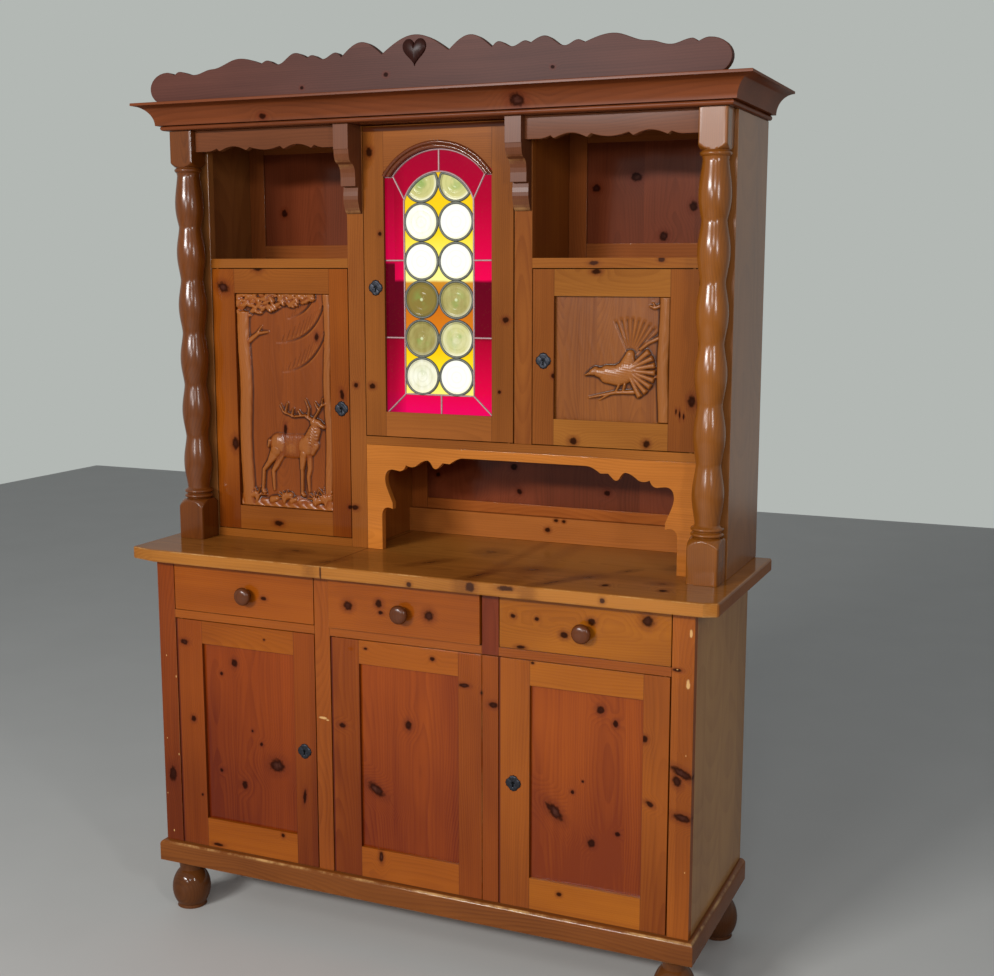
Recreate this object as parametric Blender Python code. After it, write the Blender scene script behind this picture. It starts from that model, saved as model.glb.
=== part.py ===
import math

import bmesh
import bpy
from mathutils import Matrix, Vector

for old in list(bpy.data.objects):
    bpy.data.objects.remove(old)

# Fits
FIT = 0.0003
DOOR_GAP = 0.002
HINGE_GAP = 0.003
DRAWER_GAP = 0.002
GUIDE_GAP = 0.001
GROOVE_PLAY = 0.0003
PIN_PLAY = 0.0003

# Base, stacked from the floor
FOOT_HEIGHT = 0.128
FOOT_BALL_RADIUS = 0.047
FOOT_BALL_HEIGHT = 0.096
FOOT_NECK_RADIUS = 0.027
FOOT_COLLAR_RADIUS = 0.035
FOOT_INSET = 0.052
PLINTH_HEIGHT = 0.052
PLINTH_PROJECTION = 0.013
PLINTH_ROUND = 0.009
BASE_WIDTH = 1.332
BASE_DEPTH = 0.455
BOTTOM_THICKNESS = 0.023
CUPBOARD_HEIGHT = 0.570
DECK_THICKNESS = 0.020
DRAWER_BAY_HEIGHT = 0.120
BASE_STILE_WIDTH = 0.048
POST_WIDTH = 0.040
POST_OFFSET = 0.2105
BASE_SHELF_LEVEL = 0.275
SHELF_SETBACK = 0.060
SHELF_THICKNESS = 0.018
WORKTOP_OVERHANG = 0.054
WORKTOP_DEPTH = 0.492
WORKTOP_THICKNESS = 0.030
CLIP_LEFT_WIDTH = 0.070
CLIP_LEFT_DEPTH = 0.018
CLIP_RIGHT_WIDTH = 0.030
CLIP_RIGHT_DEPTH = 0.015

# Boards shared by base and upper part
SIDE_THICKNESS = 0.020
FACE_THICKNESS = 0.022
BACK_THICKNESS = 0.012
PARTITION_THICKNESS = 0.020

# Drawers
DRAWER_SIDE = 0.012
DRAWER_BOTTOM = 0.008
DRAWER_BOX_HEIGHT = 0.095
DRAWER_BACK_ROOM = 0.012
DRAWER_AJAR = 0.008
GUIDE_HEIGHT = 0.025
KNOB_RADIUS = 0.0215
KNOB_PROJECTION = 0.028
KNOB_STEM_RADIUS = 0.0095
KNOB_COLLAR = 0.003
KNOB_LEFT_X = -0.413
KNOB_RIGHT_X = 0.4255
KNOB_LEVEL = 0.054

# Framed doors
DOOR_THICKNESS = 0.022
PANEL_THICKNESS = 0.008
PANEL_RECESS = 0.008
GROOVE_DEPTH = 0.008
WIDE_STILE = 0.072
NARROW_STILE = 0.056
TOP_RAIL = 0.055
BOTTOM_RAIL = 0.072
CENTRE_STILE = 0.096
STRIP_GROOVE = 0.003
UPPER_HINGE_STILE = 0.062
UPPER_LOCK_STILE = 0.050
UPPER_TOP_RAIL = 0.058
UPPER_BOTTOM_RAIL = 0.058
PIN_RADIUS = 0.003
PIN_LENGTH = 0.009
PIN_INSET = 0.012
PIN_SETBACK = 0.006

# Glass door
GLASS_THICKNESS = 0.006
GLASS_STILE = 0.052
GLASS_BOTTOM_RAIL = 0.057
GLASS_TOP_RAIL = 0.046
GLASS_ARCH_RISE = 0.057
GLASS_SHELF_LEVEL = 0.315
GLASS_SHELF_SETBACK = 0.050

# Upper part, measured from the worktop
UPPER_WIDTH = 1.364
UPPER_DEPTH = 0.272
UPPER_HEIGHT = 0.980
CORNER_STILE_WIDTH = 0.071
MID_STILE_WIDTH = 0.042
MID_STILE_OFFSET = 0.210
CUPBOARD_FLOOR = 0.020
CENTRE_FLOOR_LEVEL = 0.250
NICHE_FLOOR_LEVEL = 0.660
NICHE_FLOOR_THICKNESS = 0.022
ROOF_THICKNESS = 0.018
ROOF_OVERHANG = 0.006
APRON_THICKNESS = 0.018
SKIRTING_HEIGHT = 0.060
SKIRTING_THICKNESS = 0.020

# Columns and corbels
COLUMN_SQUARE = 0.062
COLUMN_INSET = 0.006
TOP_BLOCK_HEIGHT = 0.083
FOOT_BLOCK_HEIGHT = 0.097
FOOT_BLOCK_SQUARE = 0.070
BLOCK_ROUND = 0.022
COLUMN_BULGE_RADIUS = 0.0300
COLUMN_WAIST_RADIUS = 0.0235
COLUMN_RING_RADIUS = 0.0285
COLUMN_RING_HEIGHT = 0.010
COLUMN_RING_LEVEL = 0.012
COLUMN_RING_PITCH = 0.018
COLUMN_FOOT_RINGS = 0.040
COLUMN_HEAD_RING = 0.016
COLUMN_BULGES = 6
CORBEL_WIDTH = 0.038
CORBEL_FACE = 0.056
CORBEL_HEIGHT = 0.197
CORBEL_WAIST_DEPTH = 0.030
CORBEL_WAIST_DROP = 0.116
CORBEL_STEP_DROP = 0.136
CORBEL_NOSE_DEPTH = 0.019
CORBEL_STEP = 0.002
CORBEL_NOSE_ROUND = 0.010
VALANCE_THICKNESS = 0.018
VALANCE_HEIGHT = 0.049
VALANCE_SETBACK = 0.018

# Cornice and pediment
CORNICE_BEAD = 0.011
CORNICE_LEDGE = 0.016
CORNICE_COVE = 0.044
CORNICE_PROJECTION = 0.056
CORNICE_FILLET = 0.006
PEDIMENT_THICKNESS = 0.020
PEDIMENT_SETBACK = 0.020
PEDIMENT_END = 0.692
HEART_WIDTH = 0.054
HEART_HEIGHT = 0.055
HEART_TIP = 0.047
HEART_RELIEF = 0.008

# Levels and planes that follow from the sizes
z_floor = FOOT_HEIGHT + PLINTH_HEIGHT
z_deck = z_floor + CUPBOARD_HEIGHT
z_drawer = z_deck + DECK_THICKNESS
z_under_top = z_drawer + DRAWER_BAY_HEIGHT
z_work = z_under_top + WORKTOP_THICKNESS
z_left_floor = z_work + CUPBOARD_FLOOR
z_centre = z_work + CENTRE_FLOOR_LEVEL
z_centre_top = z_centre + CUPBOARD_FLOOR
z_niche = z_work + NICHE_FLOOR_LEVEL
z_niche_top = z_niche + NICHE_FLOOR_THICKNESS
z_roof = z_work + UPPER_HEIGHT
z_cornice = z_roof + CORNICE_BEAD + CORNICE_COVE + CORNICE_FILLET
y_back = WORKTOP_DEPTH / 2
y_inner_back = y_back - BACK_THICKNESS
y_base = y_back - BASE_DEPTH
y_base_inner = y_base + FACE_THICKNESS
y_upper = y_back - UPPER_DEPTH
y_upper_inner = y_upper + FACE_THICKNESS
y_column = y_upper - COLUMN_SQUARE
y_roof = y_column - ROOF_OVERHANG
x_base = BASE_WIDTH / 2
x_base_inner = x_base - SIDE_THICKNESS
x_base_stile = x_base - BASE_STILE_WIDTH
x_post_out = POST_OFFSET + POST_WIDTH / 2
x_post_in = POST_OFFSET - POST_WIDTH / 2
x_upper = UPPER_WIDTH / 2
x_upper_inner = x_upper - SIDE_THICKNESS
x_corner = x_upper - CORNER_STILE_WIDTH
x_column = x_upper - COLUMN_INSET - COLUMN_SQUARE / 2
x_mid_out = MID_STILE_OFFSET + MID_STILE_WIDTH / 2
x_mid_in = MID_STILE_OFFSET - MID_STILE_WIDTH / 2


# Modelling helpers
def material(name, colour, roughness, metallic=0.0):
    made = bpy.data.materials.new(name)
    made.use_nodes = True
    shader = made.node_tree.nodes["Principled BSDF"]
    shader.inputs["Base Color"].default_value = (*colour, 1.0)
    shader.inputs["Roughness"].default_value = roughness
    shader.inputs["Metallic"].default_value = metallic
    return made


def axis_empty(name, x, y, z):
    made = bpy.data.objects.new(name, None)
    made.location = (x, y, z)
    bpy.context.collection.objects.link(made)
    return made


def place(name, bm, finish, holder=None, smooth=False):
    bmesh.ops.recalc_face_normals(bm, faces=bm.faces)
    if holder is not None:
        bmesh.ops.translate(bm, verts=bm.verts, vec=-holder.location)
    for face in bm.faces:
        face.smooth = smooth
    mesh = bpy.data.meshes.new(name)
    bm.to_mesh(mesh)
    bm.free()
    made = bpy.data.objects.new(name, mesh)
    bpy.context.collection.objects.link(made)
    made.parent = holder
    if finish is not None:
        mesh.materials.append(finish)
    return made


def add_box(bm, x, y, z, ease=FIT / 2):
    size = [hi - lo - 2 * ease for lo, hi in (x, y, z)]
    middle = [(lo + hi) / 2 for lo, hi in (x, y, z)]
    spot = Matrix.Translation(middle) @ Matrix.Diagonal((*size, 1.0))
    bmesh.ops.create_cube(bm, size=1.0, matrix=spot)
    return bm


def board(name, x, y, z, finish, holder=None):
    return place(name, add_box(bmesh.new(), x, y, z), finish, holder)


def prism(outline, axis, lo, hi, holes=()):
    bm = bmesh.new()
    for loop in (outline, *holes):
        spots = []
        for u, v in loop:
            spot = {"X": (lo, u, v), "Y": (u, lo, v), "Z": (u, v, lo)}[axis]
            spots.append(bm.verts.new(spot))
        for here, there in zip(spots, spots[1:] + spots[:1]):
            bm.edges.new((here, there))
    bmesh.ops.triangle_fill(bm, edges=bm.edges[:], use_beauty=True, use_dissolve=True)
    grown = bmesh.ops.extrude_face_region(bm, geom=bm.faces[:])
    moved = [item for item in grown["geom"] if isinstance(item, bmesh.types.BMVert)]
    shift = Vector([hi - lo if axis == letter else 0.0 for letter in "XYZ"])
    bmesh.ops.translate(bm, verts=moved, vec=shift)
    return bm


def turned(profile, segments):
    bm = bmesh.new()
    spots = [bm.verts.new((radius, 0.0, height)) for radius, height in profile]
    edges = [bm.edges.new(pair) for pair in zip(spots, spots[1:])]
    bmesh.ops.spin(bm, geom=spots + edges, cent=(0, 0, 0), axis=(0, 0, 1),
                   angle=math.tau, steps=segments, use_merge=True)
    bmesh.ops.remove_doubles(bm, verts=bm.verts, dist=1e-6)
    return bm


def stacked(levels):
    bm = bmesh.new()
    rings = []
    for (x0, x1, y0, y1), z in levels:
        corners = ((x0, y0, z), (x1, y0, z), (x1, y1, z), (x0, y1, z))
        rings.append([bm.verts.new(corner) for corner in corners])
    for low, high in zip(rings, rings[1:]):
        for i in range(4):
            j = (i + 1) % 4
            bm.faces.new((low[i], low[j], high[j], high[i]))
    bm.faces.new(rings[0])
    bm.faces.new(rings[-1])
    return bm


def swept(profile, half_width, y_front, y_end):
    bm = bmesh.new()
    stations = []
    for side, at_front in ((-1, False), (-1, True), (1, True), (1, False)):
        ring = []
        for out, height in profile:
            y = y_front - out if at_front else y_end
            ring.append(bm.verts.new((side * (half_width + out), y, height)))
        stations.append(ring)
    for first, second in zip(stations, stations[1:]):
        for i in range(len(profile)):
            j = (i + 1) % len(profile)
            bm.faces.new((first[i], first[j], second[j], second[i]))
    bm.faces.new(stations[0])
    bm.faces.new(stations[-1])
    return bm


def combine(target, bm, operation):
    tool = place(target.name + "_" + operation.lower(), bm, None)
    tool.hide_render = True
    tool.display_type = "WIRE"
    step = target.modifiers.new(operation.title(), "BOOLEAN")
    step.operation = operation
    step.solver = "EXACT"
    step.object = tool
    return target


def bends(start, steps, pieces=5):
    path = [start]
    for step in steps:
        here = path[-1]
        end = step[-1]
        if len(step) == 1:
            path.append(end)
            continue
        bow = step[0]
        for k in range(1, pieces + 1):
            t = k / pieces
            a, b, c = (1 - t) ** 2, 2 * t * (1 - t), t ** 2
            path.append((a * here[0] + b * bow[0] + c * end[0],
                         a * here[1] + b * bow[1] + c * end[1]))
    return path


def scallop(stations, pieces=5):
    path = [stations[0][:2]]
    for (x0, z0, round0), (x1, z1, round1) in zip(stations, stations[1:]):
        count = pieces if round0 or round1 else 1
        for k in range(1, count + 1):
            t = k / count
            if round0 and round1:
                rise = (1 - math.cos(math.pi * t)) / 2
            elif round0:
                rise = 1 - math.cos(math.pi * t / 2)
            elif round1:
                rise = math.sin(math.pi * t / 2)
            else:
                rise = t
            path.append((x0 + (x1 - x0) * t, z0 + (z1 - z0) * rise))
    return path


def pins(x, y, z_low, z_high, radius, length):
    bm = bmesh.new()
    for low, high in ((z_low - length, z_low + length), (z_high - length, z_high + length)):
        spot = Matrix.Translation((x, y, (low + high) / 2))
        bmesh.ops.create_cone(bm, cap_ends=True, segments=16, radius1=radius, radius2=radius,
                              depth=high - low, matrix=spot)
    return bm


def framed_door(name, opening, hinge_side, opens_from, rails, finish, panel_finish):
    x_low, x_high, z_low, z_high = opening
    left_gap = HINGE_GAP if hinge_side < 0 else DOOR_GAP
    right_gap = HINGE_GAP if hinge_side > 0 else DOOR_GAP
    x0, x1 = x_low + left_gap, x_high - right_gap
    z0, z1 = z_low + DOOR_GAP, z_high - DOOR_GAP
    left, right, bottom, top = rails
    px0, px1, pz0, pz1 = x0 + left, x1 - right, z0 + bottom, z1 - top
    x_pin = x0 + PIN_INSET if hinge_side < 0 else x1 - PIN_INSET
    y_pin = opens_from + PIN_SETBACK
    holder = axis_empty(name + "_axis", x_pin, y_pin, (z0 + z1) / 2)
    outer = [(x0, z0), (x1, z0), (x1, z1), (x0, z1)]
    inner = [(px0, pz0), (px1, pz0), (px1, pz1), (px0, pz1)]
    frame = place(name + "_frame", prism(outer, "Y", opens_from, opens_from + DOOR_THICKNESS, [inner]),
                  finish, holder)
    y_groove = opens_from + PANEL_RECESS
    groove = add_box(bmesh.new(), (px0 - GROOVE_DEPTH, px1 + GROOVE_DEPTH),
                     (y_groove - GROOVE_PLAY, y_groove + PANEL_THICKNESS + GROOVE_PLAY),
                     (pz0 - GROOVE_DEPTH, pz1 + GROOVE_DEPTH), 0.0)
    combine(frame, groove, "DIFFERENCE")
    combine(frame, pins(x_pin, y_pin, z0, z1, PIN_RADIUS, PIN_LENGTH), "UNION")
    slack = GROOVE_DEPTH - GROOVE_PLAY
    panel = add_box(bmesh.new(), (px0 - slack, px1 + slack), (y_groove, y_groove + PANEL_THICKNESS),
                    (pz0 - slack, pz1 + slack), 0.0)
    place(name + "_panel", panel, panel_finish, holder)
    return frame, (x_pin, y_pin)


def pin_bores(spots, z_low, z_high):
    bm = bmesh.new()
    for x, y in spots:
        spot = Matrix.Translation((x, y, (z_low + z_high) / 2))
        bmesh.ops.create_cone(bm, cap_ends=True, segments=16, radius1=PIN_RADIUS + PIN_PLAY,
                              radius2=PIN_RADIUS + PIN_PLAY, depth=z_high - z_low, matrix=spot)
    return bm


def fitted_floor(front, behind, y_front, y_split, y_end):
    ease = FIT / 2
    f0, f1 = front[0] + ease, front[1] - ease
    b0, b1 = behind[0] + ease, behind[1] - ease
    return [(f0, y_front), (f1, y_front), (f1, y_split + ease), (b1, y_split + ease),
            (b1, y_end - ease), (b0, y_end - ease), (b0, y_split + ease), (f0, y_split + ease)]


# Finishes
pine = material("pine_frame", (0.50, 0.24, 0.07), 0.30)
pine_panel = material("pine_panel", (0.40, 0.16, 0.05), 0.32)
pine_top = material("pine_worktop", (0.52, 0.27, 0.08), 0.25)
pine_turned = material("pine_turned", (0.45, 0.20, 0.06), 0.22)
pine_crown = material("pine_crown", (0.34, 0.14, 0.05), 0.35)
pine_inside = material("pine_inside", (0.38, 0.19, 0.08), 0.50)
glass = material("leaded_glass", (0.80, 0.30, 0.08), 0.12)

# Bun feet
foot_top = z_floor - BOTTOM_THICKNESS - FIT
ball_half = FOOT_BALL_HEIGHT / 2
neck_angle = math.acos(FOOT_NECK_RADIUS / FOOT_BALL_RADIUS)
foot_profile = [(0.0, 0.0)]
for k in range(9):
    angle = neck_angle * (k / 4 - 1)
    swell = math.sin(angle) / math.sin(neck_angle)
    foot_profile.append((FOOT_BALL_RADIUS * math.cos(angle), ball_half + ball_half * swell))
flare = FOOT_HEIGHT - FOOT_BALL_HEIGHT
for k in range(1, 5):
    angle = math.pi / 8 * k
    widen = (FOOT_COLLAR_RADIUS - FOOT_NECK_RADIUS) * (1 - math.cos(angle))
    foot_profile.append((FOOT_NECK_RADIUS + widen, FOOT_BALL_HEIGHT + flare * 0.7 * math.sin(angle)))
foot_profile.append((FOOT_COLLAR_RADIUS, foot_top))
foot_profile.append((0.0, foot_top))
foot_x = x_base + PLINTH_PROJECTION - FOOT_INSET
foot_front = y_base - PLINTH_PROJECTION + FOOT_INSET
for end, y in (("front", foot_front), ("back", y_back - FOOT_INSET)):
    for side, x in (("left", -foot_x), ("right", foot_x)):
        bm = turned(foot_profile, 20)
        bmesh.ops.translate(bm, verts=bm.verts, vec=(x, y, 0.0))
        place("bun_foot_" + end + "_" + side, bm, pine_turned, smooth=True)

# Plinth moulding
plinth_profile = [(FIT, FOOT_HEIGHT), (PLINTH_PROJECTION, FOOT_HEIGHT)]
for k in range(6):
    angle = math.pi / 10 * k
    plinth_profile.append((PLINTH_PROJECTION - PLINTH_ROUND * (1 - math.cos(angle)),
                           z_floor - PLINTH_ROUND * (1 - math.sin(angle))))
plinth_profile.append((FIT, z_floor))
place("plinth_moulding", swept(plinth_profile, x_base, y_base, y_back), pine)

# Base doors
base_left_bay = (-x_base_stile, -x_post_out, z_floor, z_deck)
meeting = x_post_out
base_centre_bay = (-x_post_in, meeting + DOOR_GAP / 2, z_floor, z_deck)
base_right_bay = (meeting - DOOR_GAP / 2, x_base_stile, z_floor, z_deck)
base_rails = (WIDE_STILE, NARROW_STILE, BOTTOM_RAIL, TOP_RAIL)
left_frame, pin_1 = framed_door("base_door_left", base_left_bay, -1, y_base, base_rails, pine,
                                pine_panel)
centre_rails = (WIDE_STILE, CENTRE_STILE, BOTTOM_RAIL, TOP_RAIL)
centre_frame, pin_2 = framed_door("base_door_centre", base_centre_bay, -1, y_base, centre_rails, pine,
                                  pine_panel)
right_frame, pin_3 = framed_door("base_door_right", base_right_bay, 1, y_base, base_rails, pine,
                                 pine_panel)
strip_line = [(x_post_in - STRIP_GROOVE / 2, y_base - FIT), (x_post_in + STRIP_GROOVE / 2, y_base - FIT),
              (x_post_in, y_base + STRIP_GROOVE)]
combine(centre_frame, prism(strip_line, "Z", z_floor - PIN_LENGTH, z_deck + PIN_LENGTH), "DIFFERENCE")

# Base carcass
bottom = board("base_bottom", (-x_base, x_base), (y_base, y_back), (z_floor - BOTTOM_THICKNESS, z_floor),
               pine)
bore = PIN_LENGTH - DOOR_GAP + FIT
combine(bottom, pin_bores((pin_1, pin_2, pin_3), z_floor - bore, z_floor + bore), "DIFFERENCE")
for side, sign in (("left", -1), ("right", 1)):
    x_pair = sorted((sign * x_base_inner, sign * x_base))
    board("base_side_" + side, x_pair, (y_base_inner, y_back), (z_floor, z_under_top), pine)
    x_pair = sorted((sign * x_base_stile, sign * x_base))
    board("base_stile_" + side, x_pair, (y_base, y_base_inner), (z_floor, z_under_top), pine)
board("base_back", (-x_base_inner, x_base_inner), (y_inner_back, y_back), (z_floor, z_under_top),
      pine_inside)
half_wall = PARTITION_THICKNESS / 2
partition = add_box(bmesh.new(), (-x_post_out, -x_post_in), (y_base, y_base_inner),
                    (z_floor, z_under_top))
partition = place("base_partition", partition, pine)
wall = add_box(bmesh.new(), (-POST_OFFSET - half_wall, -POST_OFFSET + half_wall),
               (y_base_inner - FACE_THICKNESS / 2, y_inner_back), (z_floor, z_deck))
combine(partition, wall, "UNION")
board("drawer_divider", (x_post_in, x_post_out), (y_base, y_base_inner), (z_deck, z_under_top), pine)
deck_outline = [(-x_base_stile + FIT, y_base), (-x_post_out - FIT, y_base),
                (-x_post_out - FIT, y_base_inner + FIT), (-x_post_in + FIT, y_base_inner + FIT),
                (-x_post_in + FIT, y_base), (x_post_in - FIT, y_base),
                (x_post_in - FIT, y_base_inner + FIT), (x_post_out + FIT, y_base_inner + FIT),
                (x_post_out + FIT, y_base), (x_base_stile - FIT, y_base),
                (x_base_stile - FIT, y_base_inner + FIT),
                (x_base_inner - FIT, y_base_inner + FIT), (x_base_inner - FIT, y_inner_back - FIT),
                (-x_base_inner + FIT, y_inner_back - FIT), (-x_base_inner + FIT, y_base_inner + FIT),
                (-x_base_stile + FIT, y_base_inner + FIT)]
deck = place("drawer_deck", prism(deck_outline, "Z", z_deck + FIT / 2, z_drawer - FIT / 2), pine)
guides = bmesh.new()
guide_z = (z_deck + DECK_THICKNESS / 2, z_drawer + GUIDE_HEIGHT)
guide_y = (y_base_inner + FIT, y_inner_back - FIT)
for x_pair in ((-x_base_inner + FIT, -x_base_stile), (-x_post_out, -x_post_in), (x_post_in, x_post_out),
               (x_base_stile, x_base_inner - FIT)):
    add_box(guides, x_pair, guide_y, guide_z, 0.0)
combine(deck, guides, "UNION")
combine(deck, pin_bores((pin_1, pin_2, pin_3), z_deck - bore, z_deck + bore), "DIFFERENCE")
z_shelf = z_floor + BASE_SHELF_LEVEL
shelf_y = (y_base + SHELF_SETBACK, y_inner_back)
board("base_shelf_left", (-x_base_inner, -POST_OFFSET - half_wall), shelf_y,
      (z_shelf, z_shelf + SHELF_THICKNESS), pine_inside)
board("base_shelf_right", (-POST_OFFSET + half_wall, x_base_inner), shelf_y,
      (z_shelf, z_shelf + SHELF_THICKNESS), pine_inside)

# Drawers
knob_profile = bends((0.0, FIT), [((KNOB_RADIUS * 0.62, FIT),), ((KNOB_RADIUS * 0.62, KNOB_COLLAR),),
                                  ((KNOB_STEM_RADIUS, KNOB_COLLAR),
                                   (KNOB_STEM_RADIUS, KNOB_PROJECTION * 0.30)),
                                  ((KNOB_RADIUS * 0.95, KNOB_PROJECTION * 0.32),
                                   (KNOB_RADIUS, KNOB_PROJECTION * 0.60)),
                                  ((KNOB_RADIUS * 0.98, KNOB_PROJECTION), (0.0, KNOB_PROJECTION))], 5)
drawer_bays = (("left", -x_base_stile, -x_post_out, KNOB_LEFT_X, 0.0),
               ("centre", -x_post_in, x_post_in, 0.0, DRAWER_AJAR),
               ("right", x_post_out, x_base_stile, KNOB_RIGHT_X, 0.0))
for side, x_low, x_high, x_knob, ajar in drawer_bays:
    y_face = y_base - ajar
    x0, x1 = x_low + DRAWER_GAP, x_high - DRAWER_GAP
    z0, z1 = z_drawer + DRAWER_GAP / 2, z_under_top - DRAWER_GAP
    holder = axis_empty("drawer_" + side + "_axis", (x0 + x1) / 2, y_face, z_drawer)
    front_y = (y_face, y_face + FACE_THICKNESS)
    front = add_box(bmesh.new(), (x0, x1), front_y, (z0, z1), 0.0)
    place("drawer_" + side + "_front", front, pine, holder)
    b0, b1 = x_low + GUIDE_GAP, x_high - GUIDE_GAP
    box_y = (y_face + FACE_THICKNESS + FIT, y_inner_back - DRAWER_BACK_ROOM - ajar)
    box_z = (z_drawer + FIT, z_drawer + DRAWER_BOX_HEIGHT)
    box = place("drawer_" + side + "_box", add_box(bmesh.new(), (b0, b1), box_y, box_z, 0.0), pine_inside,
                holder)
    hollow = add_box(bmesh.new(), (b0 + DRAWER_SIDE, b1 - DRAWER_SIDE),
                     (box_y[0] - DRAWER_SIDE, box_y[1] - DRAWER_SIDE),
                     (box_z[0] + DRAWER_BOTTOM, box_z[1] + DRAWER_BOTTOM), 0.0)
    combine(box, hollow, "DIFFERENCE")
    knob = turned(knob_profile, 20)
    bmesh.ops.rotate(knob, verts=knob.verts, cent=(0, 0, 0), matrix=Matrix.Rotation(math.pi / 2, 3, "X"))
    bmesh.ops.translate(knob, verts=knob.verts, vec=(x_knob, y_face, z_drawer + KNOB_LEVEL))
    place("drawer_" + side + "_knob", knob, pine_turned, holder, smooth=True)

# Worktop
half_top = x_base + WORKTOP_OVERHANG
y_edge = -WORKTOP_DEPTH / 2
top_outline = [(-half_top, y_back), (-half_top, y_edge + CLIP_LEFT_DEPTH),
               (-half_top + CLIP_LEFT_WIDTH, y_edge), (half_top - CLIP_RIGHT_WIDTH, y_edge),
               (half_top, y_edge + CLIP_RIGHT_DEPTH), (half_top, y_back)]
place("worktop", prism(top_outline, "Z", z_under_top + FIT / 2, z_work - FIT / 2), pine_top)

# Upper doors
upper_left_bay = (-x_corner, -x_mid_out, z_left_floor, z_niche)
upper_right_bay = (x_mid_out, x_corner, z_centre_top, z_niche)
upper_rails = (UPPER_HINGE_STILE, UPPER_LOCK_STILE, UPPER_BOTTOM_RAIL, UPPER_TOP_RAIL)
upper_left_frame, pin_4 = framed_door("upper_door_left", upper_left_bay, -1, y_upper, upper_rails, pine,
                                      pine_panel)
upper_rails = (UPPER_LOCK_STILE, UPPER_HINGE_STILE, UPPER_BOTTOM_RAIL, UPPER_TOP_RAIL)
upper_right_frame, pin_5 = framed_door("upper_door_right", upper_right_bay, 1, y_upper, upper_rails, pine,
                                       pine_panel)

# Glass door
gx0, gx1 = -x_mid_in + DOOR_GAP, x_mid_in - HINGE_GAP
gz0, gz1 = z_centre_top + DOOR_GAP, z_roof - DOOR_GAP
x_pin = gx1 - PIN_INSET
y_pin = y_upper + PIN_SETBACK
pin_6 = (x_pin, y_pin)
holder = axis_empty("glass_door_axis", x_pin, y_pin, (gz0 + gz1) / 2)
ox0, ox1 = gx0 + GLASS_STILE, gx1 - GLASS_STILE
oz0, oz1 = gz0 + GLASS_BOTTOM_RAIL, gz1 - GLASS_TOP_RAIL
half_span = (ox1 - ox0) / 2
x_middle = (ox0 + ox1) / 2
arch_radius = (half_span ** 2 + GLASS_ARCH_RISE ** 2) / (2 * GLASS_ARCH_RISE)
arch_swing = math.asin(half_span / arch_radius)
opening = [(ox0, oz0), (ox1, oz0)]
for k in range(17):
    angle = arch_swing * (1 - k / 8)
    opening.append((x_middle + arch_radius * math.sin(angle),
                    oz1 - arch_radius * (1 - math.cos(angle))))
outer = [(gx0, gz0), (gx1, gz0), (gx1, gz1), (gx0, gz1)]
glass_frame = place("glass_door_frame", prism(outer, "Y", y_upper, y_upper + DOOR_THICKNESS, [opening]),
                    pine, holder)
y_glass = y_upper + PANEL_RECESS
groove = add_box(bmesh.new(), (ox0 - GROOVE_DEPTH, ox1 + GROOVE_DEPTH),
                 (y_glass - GROOVE_PLAY, y_glass + GLASS_THICKNESS + GROOVE_PLAY),
                 (oz0 - GROOVE_DEPTH, oz1 + GROOVE_DEPTH), 0.0)
combine(glass_frame, groove, "DIFFERENCE")
combine(glass_frame, pins(x_pin, y_pin, gz0, gz1, PIN_RADIUS, PIN_LENGTH), "UNION")
slack = GROOVE_DEPTH - GROOVE_PLAY
pane = add_box(bmesh.new(), (ox0 - slack, ox1 + slack), (y_glass, y_glass + GLASS_THICKNESS),
               (oz0 - slack, oz1 + slack), 0.0)
place("glass_door_glass", pane, glass, holder)

# Upper carcass
for side, sign in (("left", -1), ("right", 1)):
    post = [(sign * x_corner, y_upper), (sign * x_upper, y_upper), (sign * x_upper, y_back),
            (sign * x_upper_inner, y_back), (sign * x_upper_inner, y_upper_inner),
            (sign * x_corner, y_upper_inner)]
    place("upper_side_" + side, prism(post, "Z", z_work + FIT / 2, z_roof - FIT / 2), pine)
board("upper_back", (-x_upper_inner, x_upper_inner), (y_inner_back, y_back), (z_work, z_roof), pine_inside)
x_wall_out = MID_STILE_OFFSET + half_wall
x_wall_in = MID_STILE_OFFSET - half_wall
for side, sign, z_low in (("left", -1, z_work), ("right", 1, z_centre_top)):
    tee = [(sign * x_mid_in, y_upper), (sign * x_mid_out, y_upper), (sign * x_mid_out, y_upper_inner),
           (sign * x_wall_out, y_upper_inner), (sign * x_wall_out, y_inner_back - FIT),
           (sign * x_wall_in, y_inner_back - FIT), (sign * x_wall_in, y_upper_inner),
           (sign * x_mid_in, y_upper_inner)]
    place("upper_partition_" + side, prism(tee, "Z", z_low + FIT / 2, z_roof - FIT / 2), pine)
plan = fitted_floor((-x_corner, -x_mid_out), (-x_upper_inner, -x_wall_out), y_upper, y_upper_inner,
                    y_inner_back)
left_floor = place("left_cupboard_floor", prism(plan, "Z", z_work + FIT / 2, z_left_floor - FIT / 2), pine)
combine(left_floor, pin_bores((pin_4,), z_left_floor - bore, z_left_floor + bore), "DIFFERENCE")
left_niche = place("niche_floor_left", prism(plan, "Z", z_niche + FIT / 2, z_niche_top - FIT / 2), pine)
combine(left_niche, pin_bores((pin_4,), z_niche - bore, z_niche + bore), "DIFFERENCE")
plan = fitted_floor((x_mid_out, x_corner), (x_wall_out, x_upper_inner), y_upper, y_upper_inner,
                    y_inner_back)
right_niche = place("niche_floor_right", prism(plan, "Z", z_niche + FIT / 2, z_niche_top - FIT / 2), pine)
combine(right_niche, pin_bores((pin_5,), z_niche - bore, z_niche + bore), "DIFFERENCE")
plan = fitted_floor((-x_mid_in, x_corner), (-x_wall_in, x_upper_inner), y_upper, y_upper_inner,
                    y_inner_back)
centre_floor = place("centre_floor", prism(plan, "Z", z_centre + FIT / 2, z_centre_top - FIT / 2), pine)
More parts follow.
